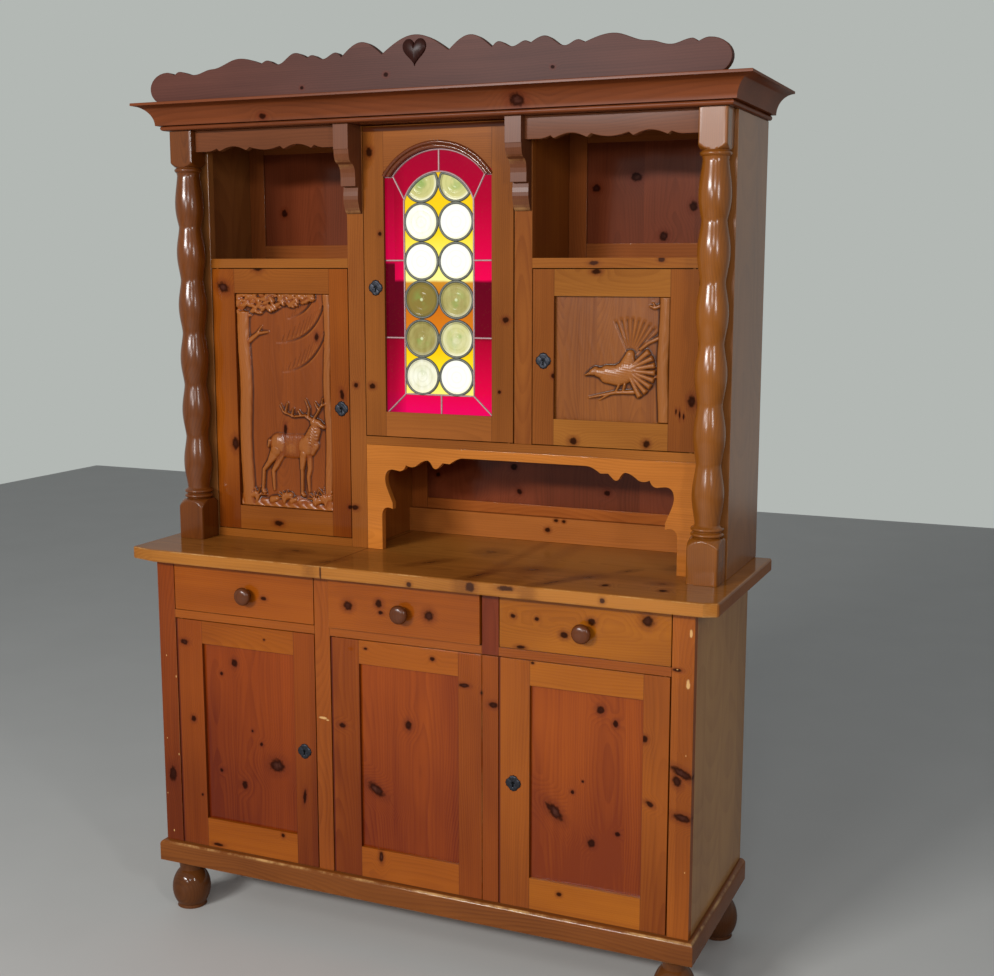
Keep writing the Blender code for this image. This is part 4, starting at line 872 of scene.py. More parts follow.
piece("cornice_planed", moulding("cornice_planed", cornice_profile, UPPER_HALF, ROOF_FRONT, high[1]),
      cornice_finish, "carcass", ["cornice"])


# Pediment and heart
# A scalloped board with rounded ears stands on the cornice, screwed down from behind, and is coloured dark.
# A carved heart, puffed towards its middle, is glued on its front.
low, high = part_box("pediment")
crest = [(0.0, 0.112, True), (0.080, 0.076, False), (0.130, 0.104, True), (0.180, 0.076, False),
         (0.195, 0.086, True), (0.227, 0.074, True), (0.255, 0.084, True), (0.267, 0.079, False),
         (0.298, 0.091, True), (0.343, 0.069, True), (0.371, 0.079, True), (0.386, 0.073, False),
         (0.445, 0.087, True), (0.520, 0.068, True), (0.568, 0.058, True), (0.610, 0.067, True),
         (0.623, 0.060, False), (0.645, 0.067, True)]
EAR_X, EAR_Z, EAR_WIDE, EAR_TALL = 0.645, 0.030, 0.047, 0.037
ear = [(EAR_X + EAR_WIDE * math.sin(math.radians(turn)), EAR_Z + EAR_TALL * math.cos(math.radians(turn)))
       for turn in range(12, 133, 12)]
crest_line = [(x, low[2] - 0.0005 + z) for x, z in waved(crest, 8) + ear + [(0.672, 0.0005)]]
crest_line += [(-x, z) for x, z in reversed(crest_line[1:])]
PEDIMENT_FACE, PEDIMENT_BACK = -0.130, -0.110
pediment_finish = pine_finish("pine_pediment", (96, 56, 46), (64, 34, 28), 91, grain="level",
                              face=PEDIMENT_FACE, board=0.3, loose=0.0, wear=0.15, gloss=0.24, film=0.42,
                              knots=[(-0.07, 1.993, 0.006, 0.005), (-0.281, 1.976, 0.005, 0.004),
                                     (0.317, 1.988, 0.005, 0.004)])
piece("pediment_cut", cut_board("pediment_cut", crest_line, "y", PEDIMENT_FACE, PEDIMENT_BACK, 0.0018),
      pediment_finish, "carcass", ["pediment"], even=True)
HEART_WIDTH, HEART_HEIGHT, HEART_TIP, HEART_RELIEF = 0.056, 0.057, 0.046, 0.008
CROWN_TOP, HEART_POINTS = 1.961, 96
heart_rings = []
heart_steps = [(1.0, -0.004)]
for k in range(13):
    bend = math.pi / 2 * k / 12
    heart_steps.append((math.cos(bend), math.sin(bend) ** 0.8))
for level, (scale, out) in enumerate(heart_steps):
    ring = []
    for k in range(HEART_POINTS):
        t = math.tau * k / HEART_POINTS
        across = math.sin(t) ** 3
        up = (13 * math.cos(t) - 5 * math.cos(2 * t) - 2 * math.cos(3 * t) - math.cos(4 * t) + 17) / 29
        depth = PEDIMENT_FACE + 0.003 if level == 0 else PEDIMENT_FACE - HEART_RELIEF * out
        size = max(scale, 0.02)
        ring.append((HEART_WIDTH / 2 * across * size, depth,
                     CROWN_TOP + HEART_TIP + HEART_HEIGHT * (0.55 + (up - 0.55) * size)))
    heart_rings.append(ring)
heart_finish = pine_finish("pine_heart", (60, 30, 24), (38, 16, 12), 93, face=PEDIMENT_FACE, board=0.3,
                           loose=0.0, wear=0.0, gloss=0.22, film=0.3)
piece("heart", ring_mesh("heart", heart_rings), heart_finish, "carcass", sharp=60)


# Upper doors
# Mortised pine frames of two stiles and two rails, turning on pins in floor and niche floor.
# Their panels lie loose in grooves and carry the carving.
upper_looks = {"left": (-0.546, -0.283, (150, 78, 18), (106, 46, 8), (142, 78, 24), (106, 52, 14),
                        [(-0.578, 1.534, 0.017, 0.013, 0.2), (-0.555, 1.153, 0.010, 0.016),
                         (-0.252, 1.285, 0.006, 0.012, 0.5), (-0.236, 1.016, 0.006, 0.005)],
                        [(-0.436, 0.962, 0.013, 0.007), (-0.478, 1.582, 0.013, 0.010)]),
               "right": (0.283, 0.546, (146, 82, 28), (106, 52, 14), (158, 98, 36), (120, 66, 18),
                         [(0.597, 1.301, 0.009, 0.013), (0.282, 1.345, 0.005, 0.006),
                          (0.571, 1.272, 0.0022, 0.010, 0.4), (0.580, 1.268, 0.002, 0.007),
                          (0.563, 1.278, 0.002, 0.006)],
                         [(0.380, 1.573, 0.011, 0.006), (0.498, 1.205, 0.008, 0.008),
                          (0.330, 1.203, 0.010, 0.008)])}
for number, side in enumerate(upper_looks):
    left, right, pale, deep, rail_pale, rail_deep, knots, rail_knots = upper_looks[side]
    name = "upper_door_" + side
    dress(name + "_frame",
          pine_finish("pine_" + name, pale, deep, 101 + number * 7, face=UPPER_FACE, board=0.3, loose=0.0,
                      knots=knots, rails=(left, right, rail_pale, rail_deep), rail_knots=rail_knots,
                      redder=(1.15, 0.98, 0.35) if side == "left" else None), ease=0.0015)


# Carved panels
# Two solid pine panels carved in low relief with gouges: a stag between trees, and a game bird by a trunk.
# They are loose in the door frames. The cuts are darkened, partly by stain and partly as painted shade, and
# the high spots are lightened, partly by rubbing and partly as painted highlight.
def ridge(a, b, start, end, thick, thin, lift, flat=0.5):
    run_a, run_b = end[0] - start[0], end[1] - start[1]
    share = np.clip(((a - start[0]) * run_a + (b - start[1]) * run_b) / (run_a ** 2 + run_b ** 2), 0, 1)
    away = np.hypot(a - start[0] - share * run_a, b - start[1] - share * run_b)
    return lift * np.clip(1 - (away / (thick + (thin - thick) * share)) ** 2, 0, 1) ** flat


def chain(a, b, spots, thick, thin, lift, flat=0.5):
    relief = np.zeros_like(a)
    count = len(spots) - 1
    for k in range(count):
        relief = np.maximum(relief, ridge(a, b, spots[k], spots[k + 1], thick + (thin - thick) * k / count,
                                          thick + (thin - thick) * (k + 1) / count, lift, flat))
    return relief


def leaf(a, b, spot, angle, length, width, lift):
    along_leaf = ((a - spot[0]) * math.cos(angle) + (b - spot[1]) * math.sin(angle)) / length
    across_leaf = (b - spot[1]) * math.cos(angle) - (a - spot[0]) * math.sin(angle)
    half = width * np.clip(1 - (2 * along_leaf) ** 2, 0, 1) ** 0.6 * (1 + 0.10 * np.cos(along_leaf * 26))
    dome = np.clip(1 - (across_leaf / np.maximum(half, 1e-5)) ** 2, 0, 1)
    vein = 0.5 * np.exp(-(across_leaf / 0.0010) ** 2)
    return np.where((dome > 0) & (np.abs(along_leaf) < 0.48),
                    lift * (0.35 + 0.65 * dome ** 0.6) + 2.0 * along_leaf - vein, 0.0)


def trunk(a, b, middle, half, lift, seed):
    offset = (a - middle - 0.0025 * np.sin(b * 23 + seed)) / half
    bark = 0.35 * np.sin(offset * 11 + 2.2 * np.sin(b * 48 + seed)) * np.sin(b * 90 + offset * 5)
    return np.where(np.abs(offset) < 1, lift * np.sqrt(np.clip(1 - offset ** 2, 0, 1)) + bark, 0.0)


def bough(a, b, spots, length, lift):
    curve = eased_path(spots[0], [(spots[1], spots[2])], 28)
    needles, cut = np.zeros_like(a), np.zeros_like(a)
    for k in range(4, 27, 2):
        tall = length * math.sin(math.pi * k / 30)
        foot, tip = (curve[k][0], curve[k][1] + 0.003), (curve[k][0] + 0.35 * tall, curve[k][1] + tall)
        needles = np.maximum(needles, ridge(a, b, foot, tip, 0.0020, 0.0011, lift, 0.8))
    for k in range(len(curve) - 1):
        cut = np.maximum(cut,
                         ridge(a, b, curve[k], curve[k + 1], 0.0042, 0.0042,
                               3.8 * min(1.0, 1.7 - 1.6 * k / 28), 1.0))
    return needles, cut


def tuft(a, b, spot, height, blades, spread, lift):
    relief = np.zeros_like(a)
    for k in range(blades):
        lean = spread * (k / (blades - 1) - 0.5)
        tall = height * (1 - 0.35 * abs(k / (blades - 1) - 0.5) + 0.12 * (k % 2))
        tip = (spot[0] + tall * math.sin(lean), spot[1] + tall * math.cos(lean))
        bend = (spot[0] + 0.45 * tall * math.sin(lean * 0.6), spot[1] + 0.55 * tall)
        relief = np.maximum(relief, chain(a, b, [spot, bend, tip], 0.0028, 0.0011, lift + 0.5 * (k % 3), 0.7))
    return relief


def stag_relief(a, b, width, height):
    dice = np.random.default_rng(11)
    relief = 0.22 * np.sin(a * 260 + 2.5 * np.sin(b * 37)) * np.sin(b * 60 + a * 40)
    relief = np.maximum(relief, trunk(a, b, 0.019, 0.018, 7.6, 1.0) * (b < 0.475))
    relief = np.maximum(relief, trunk(a, b, width - 0.012, 0.011, 5.5, 4.0))
    relief = np.maximum(relief,
                        chain(a, b, [(0.030, 0.404), (0.060, 0.424), (0.088, 0.428)], 0.0070, 0.0022, 4.6))
    relief = np.maximum(relief, chain(a, b, [(0.056, 0.423), (0.070, 0.441)], 0.0040, 0.0018, 4.2))
    cuts = np.zeros_like(a)
    for spots, length in (([(0.214, 0.515), (0.199, 0.474), (0.146, 0.462)], 0.026),
                          ([(0.240, 0.490), (0.208, 0.404), (0.112, 0.404)], 0.046),
                          ([(0.252, 0.446), (0.216, 0.340), (0.128, 0.334)], 0.050)):
        needles, cut = bough(a, b, spots, length, 1.5)
        cuts = np.maximum(cuts, np.maximum(needles, cut))
    for k in range(120):
        spot_a = dice.uniform(-0.004, 0.212)
        spot = (spot_a, height - dice.uniform(0.0, 0.006 + 0.052 * (1 - spot_a / 0.25)))
        relief = np.maximum(relief,
                            leaf(a, b, spot, math.radians(dice.uniform(-70, 60)),
                                 dice.uniform(0.017, 0.028), dice.uniform(0.0045, 0.0070),
                                 dice.uniform(3.5, 8.5)))
    ground = 0.026 + 0.006 * np.sin(a * 46 + 1.0)
    lumps = 1 + 0.25 * np.sin(a * 190 + 2 * np.sin(b * 130)) * np.sin(b * 210 + a * 60)
    relief = np.maximum(relief, 5.0 * lumps * np.clip(1 - (b / ground) ** 2, 0, 1) ** 0.6)
    stag = chain(a, b, [(0.112, 0.156), (0.145, 0.153), (0.180, 0.154)], 0.0285, 0.0295, 5.2, 0.55)
    limbs = (([(0.196, 0.152), (0.206, 0.160)], 0.022, 0.018, 6.6),
             ([(0.200, 0.168), (0.213, 0.196), (0.215, 0.210)], 0.021, 0.0125, 7.6),
             ([(0.211, 0.214), (0.224, 0.212)], 0.0112, 0.0085, 8.6),
             ([(0.224, 0.211), (0.238, 0.204)], 0.0080, 0.0055, 8.4),
             ([(0.203, 0.221), (0.189, 0.227)], 0.0052, 0.0018, 8.2),
             ([(0.085, 0.164), (0.081, 0.150)], 0.0050, 0.003, 6.0),
             ([(0.102, 0.138), (0.084, 0.112)], 0.0165, 0.0080, 7.6),
             ([(0.084, 0.112), (0.067, 0.092)], 0.0078, 0.0052, 6.6),
             ([(0.067, 0.092), (0.063, 0.042)], 0.0050, 0.0040, 6.4),
             ([(0.063, 0.042), (0.067, 0.036)], 0.0056, 0.0050, 6.6),
             ([(0.116, 0.130), (0.103, 0.106), (0.093, 0.090), (0.095, 0.044)], 0.0100, 0.0036, 4.2),
             ([(0.180, 0.134), (0.176, 0.100)], 0.0120, 0.0062, 7.6),
             ([(0.176, 0.100), (0.175, 0.040)], 0.0054, 0.0040, 6.4),
             ([(0.175, 0.040), (0.179, 0.035)], 0.0056, 0.0050, 6.6),
             ([(0.195, 0.132), (0.197, 0.102), (0.192, 0.080), (0.194, 0.046)], 0.0090, 0.0036, 4.2))
    for spots, thick, thin, lift in limbs:
        stag = np.maximum(stag, chain(a, b, spots, thick, thin, lift, 0.45))
    muscles = ((0.107, 0.156, 0.022, 0.028, 4.0), (0.186, 0.154, 0.018, 0.028, 4.2),
               (0.146, 0.146, 0.016, 0.016, 0.8), (0.205, 0.180, 0.012, 0.024, 1.6))
    for middle_a, middle_b, size_a, size_b, lift in muscles:
        dome = 1 - ((a - middle_a) / size_a) ** 2 - ((b - middle_b) / size_b) ** 2
        stag = stag + np.where(stag > 1.0, lift * np.clip(dome, 0, 1), 0.0)
    mane = np.clip(1 - ((a - 0.208) / 0.018) ** 2 - ((b - 0.182) / 0.032) ** 2, 0, 1)
    strands = np.sin((b + 0.6 * a) * math.tau / 0.0080 + 2.0 * np.sin(a * 300))
    stag = stag + np.where(stag > 1.0, 1.0 * mane * strands, 0.0)
    fur = np.sin(a * 820 + 3.0 * np.sin(b * 260)) * np.sin(b * 520 + 2.0 * np.sin(a * 300))
    stag = stag + np.where(stag > 1.0, 0.22 * fur, 0.0)
    antlers = np.zeros_like(a)
    for spots in ([(0.204, 0.223), (0.188, 0.230), (0.156, 0.226), (0.127, 0.236), (0.117, 0.254)],
                  [(0.132, 0.233), (0.138, 0.258)], [(0.150, 0.227), (0.154, 0.245)],
                  [(0.176, 0.229), (0.168, 0.241)],
                  [(0.212, 0.224), (0.222, 0.238), (0.234, 0.258), (0.236, 0.272)],
                  [(0.226, 0.244), (0.214, 0.262)], [(0.232, 0.254), (0.246, 0.261)],
                  [(0.196, 0.229), (0.198, 0.247), (0.188, 0.269)]):
        antlers = np.maximum(antlers, chain(a, b, spots, 0.0032, 0.0017, 7.0))
    relief = np.where(stag > 0.3, np.maximum(stag, relief * 0.25), relief)
    relief = np.maximum(relief, antlers)
    relief = relief - 1.6 * np.exp(-((a - 0.214) ** 2 + (b - 0.2165) ** 2) / 0.0014 ** 2)
    for spot_a, spot_b, size in ((0.034, 0.026, 0.015), (0.096, 0.018, 0.013), (0.134, 0.028, 0.014),
                                 (0.150, 0.018, 0.011), (0.218, 0.020, 0.013), (0.243, 0.028, 0.016)):
        relief = np.maximum(relief,
                            ridge(a, b, (spot_a - size * 0.5, spot_b),
                                  (spot_a + size * 0.5, spot_b + 0.004), size * 0.8, size * 0.6, 7.4, 0.6))
    for spot_a, tall, blades, lean in ((0.046, 0.034, 6, 2.0), (0.124, 0.030, 6, 2.2), (0.212, 0.034, 6, 2.0),
                                       (0.240, 0.046, 6, 1.6)):
        relief = np.maximum(relief, tuft(a, b, (spot_a, 0.012), tall, blades, lean, 6.6))
    return relief - np.where(relief < 3.4, cuts, 0.0)


def bird_relief(a, b, width, height):
    relief = 0.18 * np.sin(a * 280 + 2.0 * np.sin(b * 41)) * np.sin(b * 52 + a * 30)
    relief = np.maximum(relief, trunk(a, b, width - 0.014, 0.0135, 8.4, 2.0))
    relief = np.maximum(relief,
                        chain(a, b, [(0.242, 0.252), (0.226, 0.246), (0.216, 0.250)], 0.0045, 0.0018, 4.0))
    relief = np.maximum(relief, chain(a, b, [(0.228, 0.247), (0.222, 0.258)], 0.0028, 0.0014, 3.6))
    relief = np.maximum(relief,
                        chain(a, b, [(0.242, 0.185), (0.214, 0.172), (0.196, 0.158)], 0.0045, 0.0030, 4.0))
    relief = np.maximum(relief, chain(a, b, [(0.242, 0.104), (0.228, 0.098)], 0.0040, 0.0025, 4.0))
    relief = np.maximum(relief,
                        chain(a, b, [(0.190, 0.066), (0.140, 0.063), (0.080, 0.050)], 0.0052, 0.0020, 4.6))
    relief = np.maximum(relief, chain(a, b, [(0.132, 0.062), (0.104, 0.046)], 0.0030, 0.0014, 4.0))
    pivot = (0.172, 0.138)
    sunk = np.zeros_like(a)
    fan = np.hypot(a - pivot[0], b - pivot[1])
    for k in range(1, 10):
        lean = math.radians(122 - 9.0 * k)
        tip = (pivot[0] + 0.10 * math.cos(lean), pivot[1] + 0.10 * math.sin(lean))
        groove = ridge(a, b, pivot, tip, 0.0012, 0.0042, 1.8, 0.7)
        sunk = np.minimum(sunk, -groove * np.clip((0.090 - fan) / 0.008, 0, 1))
    bird = chain(a, b, [(0.122, 0.102), (0.146, 0.100), (0.168, 0.110)], 0.020, 0.025, 8.8, 0.50)
    bird = np.maximum(bird, chain(a, b, [(0.116, 0.103), (0.100, 0.106)], 0.014, 0.0105, 8.6, 0.50))
    bird = np.maximum(bird, ridge(a, b, (0.095, 0.108), (0.088, 0.106), 0.0105, 0.0078, 8.8))
    bird = np.maximum(bird, ridge(a, b, (0.084, 0.104), (0.071, 0.099), 0.0048, 0.0012, 8.0))
    bird = np.maximum(bird, chain(a, b, [(0.168, 0.122), (0.173, 0.146)], 0.020, 0.010, 7.4, 0.50))
    bird = bird + np.where(bird > 1.5, 0.30 * np.sin(a * 700 + b * 500) * np.sin(a * 520 - b * 640), 0.0)
    relief = np.where(bird > 0.3, np.maximum(bird, relief * 0.3), relief)
    pivot = (0.166, 0.112)
    fan = np.hypot(a - pivot[0], b - pivot[1])
    for k in range(8):
        lean = math.radians(40 - 14.5 * k)
        tip = (pivot[0] + 0.075 * math.cos(lean), pivot[1] + 0.075 * math.sin(lean))
        feather = ridge(a, b, pivot, tip, 0.0034, 0.0082, 8.0 + 0.8 * (k % 2), 0.8)
        feather = feather - ridge(a, b, pivot, tip, 0.0009, 0.0009, 1.2)
        relief = np.maximum(relief, feather * np.clip((0.066 - fan) / 0.003, 0, 1))
    for start, end in (((0.150, 0.082), (0.142, 0.066)), ((0.162, 0.082), (0.158, 0.067))):
        relief = np.maximum(relief, ridge(a, b, start, end, 0.0030, 0.0026, 5.0))
    relief = relief + np.where(relief < 1.0, sunk, 0.0)
    return relief - 1.6 * np.exp(-((a - 0.0925) ** 2 + (b - 0.1095) ** 2) / 0.0013 ** 2)


def blurred(field, reach, step):
    spread_b = np.fft.fftfreq(field.shape[0], step)[:, None]
    spread_a = np.fft.fftfreq(field.shape[1], step)[None, :]
    soft = np.exp(-2 * (math.pi * reach) ** 2 * (spread_a ** 2 + spread_b ** 2))
    return np.real(np.fft.ifft2(np.fft.fft2(field) * soft))


CARVE_STEP = 0.0012
PANEL_FACE = -0.018
MILLIMETRE = 0.001
GROUND_SUNK, RELIEF_TOP = 2.2, 7.4
for side, opening, relief_of, pale, deep, grain_board, knots in (
        ("left", ((-0.546, 1.000), (-0.283, 1.520)), stag_relief, (142, 70, 18), (98, 42, 6), 0.13,
         [(-0.417, 1.193, 0.005, 0.013), (-0.325, 1.418, 0.006, 0.010)]),
        ("right", ((0.283, 1.250), (0.546, 1.520)), bird_relief, (144, 82, 28), (92, 42, 12), 0.038, [])):
    node = "upper_door_" + side + "_panel"
    low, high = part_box(node)
    columns = int((high[0] - low[0]) / CARVE_STEP) + 1
    rows = int((high[2] - low[2]) / CARVE_STEP) + 1
    xs, zs = np.meshgrid(np.linspace(low[0], high[0], columns), np.linspace(low[2], high[2], rows))
    (x0, z0), (x1, z1) = opening
    a, b = xs - x0, zs - z0
    margin = np.minimum(np.minimum(a, x1 - xs), np.minimum(b, z1 - zs))
    relief = relief_of(a, b, x1 - x0, z1 - z0) * np.clip((margin - 0.0003) / 0.0016, 0, 1)
    relief = np.minimum(blurred(relief - GROUND_SUNK, 0.0007, CARVE_STEP), RELIEF_TOP) * MILLIMETRE
    # Per-point carving value: high in the cuts, where the finish paints stain plus shade, and low on the high
    # spots, where it paints rubbed wear plus highlight.
    carving_stain_and_shade = 0.5 + (blurred(relief, 0.004, CARVE_STEP) - relief) / 0.0030
    carving_stain_and_shade = carving_stain_and_shade - 0.35 * np.clip(relief / 0.005, 0, 1)
    front = np.stack([xs, PANEL_FACE - relief, zs], axis=-1).reshape(-1, 3)
    edge = list(range(columns)) + [r * columns + columns - 1 for r in range(1, rows)]
    edge += [(rows - 1) * columns + c for c in range(columns - 2, -1, -1)]
    edge += [r * columns for r in range(rows - 2, 0, -1)]
    back = front[edge].copy()
    back[:, 1] = high[1]
    faces = [(r * columns + c, r * columns + c + 1, (r + 1) * columns + c + 1, (r + 1) * columns + c)
             for r in range(rows - 1) for c in range(columns - 1)]
    total = rows * columns
    faces += [(edge[k], total + k, total + (k + 1) % len(edge), edge[(k + 1) % len(edge)])
              for k in range(len(edge))]
    faces.append(tuple(range(total, total + len(edge)))[::-1])
    mesh = mesh_of(node + "_carved", np.concatenate([front, back]), faces)
    stain_and_shade_layer = mesh.attributes.new("carving_stain_and_shade", "FLOAT", "POINT")
    darkness = np.concatenate([np.clip(carving_stain_and_shade, 0, 1).ravel(), np.full(len(edge), 0.5)])
    stain_and_shade_layer.data.foreach_set("value", darkness.astype("f"))
    finish = pine_finish("pine_" + node, pale, deep, 104 if side == "left" else 111, face=UPPER_FACE,
                         board=grain_board, rings=0.0026, loose=0.0 if side == "left" else 0.15, wear=0.0,
                         carved=True, gloss=0.55, film=0.26, knots=knots)
    piece(node + "_carved", mesh, finish, "upper_door_" + side, [node], sharp=84)


# Glass door
# A pine frame on pins, its opening arched at the top, holds the leaded glass in a rebate.
# Half-round beads are bent over the arch, and a flat strip runs along its head.
dress("glass_door_frame",
      pine_finish("pine_glass_door", (142, 80, 28), (102, 52, 14), 121, face=UPPER_FACE, board=0.3,
                  loose=0.0,
                  knots=[(-0.171, 1.84, 0.009, 0.011), (-0.1455, 1.6575, 0.005, 0.005),
                         (-0.1705, 1.308, 0.008, 0.007), (0.168, 1.466, 0.008, 0.007),
                         (0.153, 1.305, 0.004, 0.004)],
                  rails=(-0.135, 0.134, (156, 90, 36), (116, 62, 22))), ease=0.0015)
GLASS_MIDDLE, HALF_OPENING, ARCH_SPRING, ARCH_TOP, OPENING_FOOT = -0.0005, 0.1345, 1.795, 1.852, 1.249
HEAD_STRIP_LEVEL, HEAD_STRIP_WIDTH, HEAD_STRIP_RISE = 1.8905, 0.010, 0.0013
BEAD_SPRING = 1.786


def strip_rings(path, width, rise, y_face, sunk, closed=False, sides=8):
    rings = []
    count = len(path)
    for k, (x, z) in enumerate(path):
        before = path[(k - 1) % count] if closed or k else path[0]
        after = path[(k + 1) % count] if closed or k < count - 1 else path[-1]
        run = Vector((after[0] - before[0], after[1] - before[1])).normalized()
        ring = [(x - run.y * width / 2, y_face + sunk, z + run.x * width / 2)]
        for n in range(sides + 1):
            turn = math.pi * n / sides
            reach = width / 2 * math.cos(turn)
            ring.append((x - run.y * reach, y_face - rise * math.sin(turn), z + run.x * reach))
        ring.append((x + run.y * width / 2, y_face + sunk, z - run.x * width / 2))
        rings.append(ring)
    return rings


def strip(rings, spots, faces, closed=False):
    base, count = len(spots), len(rings[0])
    spots.extend(spot for ring in rings for spot in ring)
    for level in range(len(rings) if closed else len(rings) - 1):
        low, high = base + level * count, base + (level + 1) % len(rings) * count
        faces.extend((low + k, high + k, high + (k + 1) % count, low + (k + 1) % count) for k in range(count))
    if not closed:
        faces.append(tuple(range(base, base + count)))
        faces.append(tuple(range(base + (len(rings) - 1) * count, base + len(rings) * count))[::-1])


def arch_line(half, spring, top, pieces, grow=0.0):
    rise = top - spring
    radius = (half ** 2 + rise ** 2) / (2 * rise)
    swing = math.asin(half / radius)
    return [(GLASS_MIDDLE + (radius + grow) * math.sin(t), top - radius + (radius + grow) * math.cos(t))
            for t in [swing * (2 * k / pieces - 1) for k in range(pieces + 1)]]


spots, faces = [], []
for half, top, width, rise, sunk in ((0.1331, 1.8575, 0.0090, 0.0058, 0.0005),
                                     (0.1228, 1.8490, 0.0090, 0.0036, 0.0092)):
    strip(strip_rings(arch_line(half, BEAD_SPRING, top, 40), width, rise, UPPER_FACE, sunk), spots, faces)
bead_finish = pine_finish("pine_arch_bead", (116, 58, 30), (78, 34, 16), 123, grain="level", board=0.3,
                          loose=0.0, wear=0.0, gloss=0.8)
piece("glass_arch_bead", mesh_of("glass_arch_bead", spots, faces), bead_finish, "glass_door",
      sharp=50)
low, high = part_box("glass_door_frame")
spots, faces = [], []
head_line = [(low[0] + 0.002, HEAD_STRIP_LEVEL), (high[0] - 0.022, HEAD_STRIP_LEVEL)]
strip(strip_rings(head_line, HEAD_STRIP_WIDTH, HEAD_STRIP_RISE, UPPER_FACE, 0.0005), spots, faces)
piece("glass_head_strip", mesh_of("glass_head_strip", spots, faces), bead_finish, "glass_door",
      sharp=50)


# Leaded glass
# Twelve blown bullseye roundels in lead cames, with yellow and orange glass between and a red border round.
# It is given a painted glow, as if lit from the cupboard behind, with a painted shadow of the shelf as a dark
# band across the middle.
FIELD_HALF, FIELD_FOOT, FIELD_SPRING, FIELD_TOP = 0.087, 1.292, 1.730, 1.794
GLASS_FRONT, GLASS_BACK = -0.0160, -0.0135
REBATE = 0.0025


def arched_outline(half, foot, spring, top):
    line = [(GLASS_MIDDLE - half + 2 * half * k / 8, foot) for k in range(8)]
    line += [(GLASS_MIDDLE + half, foot + (spring - foot) * k / 20) for k in range(20)]
    line += list(reversed(arch_line(half, spring, top, 36)))
    line += [(GLASS_MIDDLE - half, spring + (foot - spring) * k / 20) for k in range(1, 20)]
    return line


def glass_finish(name, glow, ripple, rise):
    finish = bpy.data.materials.new(name)
    finish.use_nodes = True
    tree = finish.node_tree
    shader = tree.nodes["Principled BSDF"]
    coords = tree.nodes.new("ShaderNodeTexCoord").outputs
    shade = glow(tree, coords["Object"])
    seeds = mottle(tree, coords["Object"], 420.0, 2.0)
    shade = tinted(tree, sums(tree, "MULTIPLY", eased(tree, seeds, 0.66, 0.74), 0.25), shade,
                   tint(120, 90, 40))
    # Painted glow: the glass emits its own colour, standing in for light from the cupboard behind it.
    feed(tree, shader.inputs["Emission Color"], shade)
    shader.inputs["Emission Strength"].default_value = 0.92
    feed(tree, shader.inputs["Base Color"], tinted(tree, 0.82, shade, tint(8, 4, 2)))
    shader.inputs["Roughness"].default_value = 0.12
    shader.inputs["Specular IOR Level"].default_value = 0.05
    bump = tree.nodes.new("ShaderNodeBump")
    bump.inputs["Strength"].default_value = 0.4
    bump.inputs["Distance"].default_value = rise
    feed(tree, bump.inputs["Height"], mottle(tree, coords["Object"], ripple, 3.0))
    feed(tree, shader.inputs["Normal"], bump.outputs["Normal"])
    return finish


# Painted shadow of the shelf: the dark band in the glass colours sits 40 mm higher in the left part of the
# border.
SHELF_SHADOW_RISES_LEFT_OF, SHELF_SHADOW_STEP_LEVEL, SHELF_SHADOW_SHIFT = -0.113, 1.5, -0.040


def by_height(tree, place, foot, top, stops):
    x, y, z = parts_of(tree, place)
    shelf_shadow_step = sums(tree, "MULTIPLY", sums(tree, "LESS_THAN", x, SHELF_SHADOW_RISES_LEFT_OF),
                     sums(tree, "GREATER_THAN", z, SHELF_SHADOW_STEP_LEVEL))
    z = sums(tree, "MULTIPLY_ADD", shelf_shadow_step, SHELF_SHADOW_SHIFT, z)
    z = sums(tree, "ADD", z, sums(tree, "MULTIPLY_ADD", mottle(tree, place, 22.0, 1.0), 0.006, -0.003))
    level = tree.nodes.new("ShaderNodeMapRange")
    for socket, given in zip(level.inputs, (z, foot, top, 0.0, 1.0)):
        feed(tree, socket, given)
    ramp = tree.nodes.new("ShaderNodeValToRGB")
    while len(ramp.color_ramp.elements) < len(stops):
        ramp.color_ramp.elements.new(0.5)
    for element, (height, shade) in zip(ramp.color_ramp.elements, stops):
        element.position = (height - foot) / (top - foot)
        element.color = tint(*shade)
    feed(tree, ramp.inputs[0], level.outputs[0])
    return ramp.outputs["Color"]


def red_glow(tree, place):
    x, y, z = parts_of(tree, place)
    # Painted glow from foot to arch; the dark stops from 1.424 to 1.549 are the painted shadow of the shelf.
    shade = by_height(tree, place, OPENING_FOOT, ARCH_TOP,
                      [(1.249, (232, 0, 92)), (1.300, (224, 0, 66)), (1.415, (170, 0, 42)),
                       (1.424, (110, 0, 28)), (1.549, (96, 0, 26)), (1.555, (236, 0, 78)),
                       (1.640, (210, 0, 62)), (1.730, (176, 0, 46)), (1.852, (154, 0, 42))])
    # Painted shade: the red border left of the field is darkened, most towards its foot.
    left_border_shade = sums(tree, "MULTIPLY_ADD", eased(tree, z, 1.60, 1.35), 0.22, 0.32)
    left_border_shade = sums(tree, "MULTIPLY", left_border_shade, sums(tree, "LESS_THAN", x, -FIELD_HALF))
    left_border_shade = sums(tree, "MULTIPLY", left_border_shade, eased(tree, x, -0.075, -0.125))
    return tinted(tree, left_border_shade, shade, tint(62, 0, 16))


def yellow_glow(tree, place):
    # Painted glow of the yellow field, darker and more orange across the band of the painted shelf shadow.
    return by_height(tree, place, FIELD_FOOT, FIELD_TOP, [
        (1.292, (252, 240, 120)), (1.345, (250, 226, 40)), (1.395, (244, 196, 10)), (1.440, (214, 122, 24)),
        (1.500, (196, 106, 22)), (1.547, (204, 138, 40)), (1.553, (250, 244, 150)), (1.600, (252, 242, 110)),
        (1.660, (246, 214, 30)), (1.794, (240, 190, 20))])


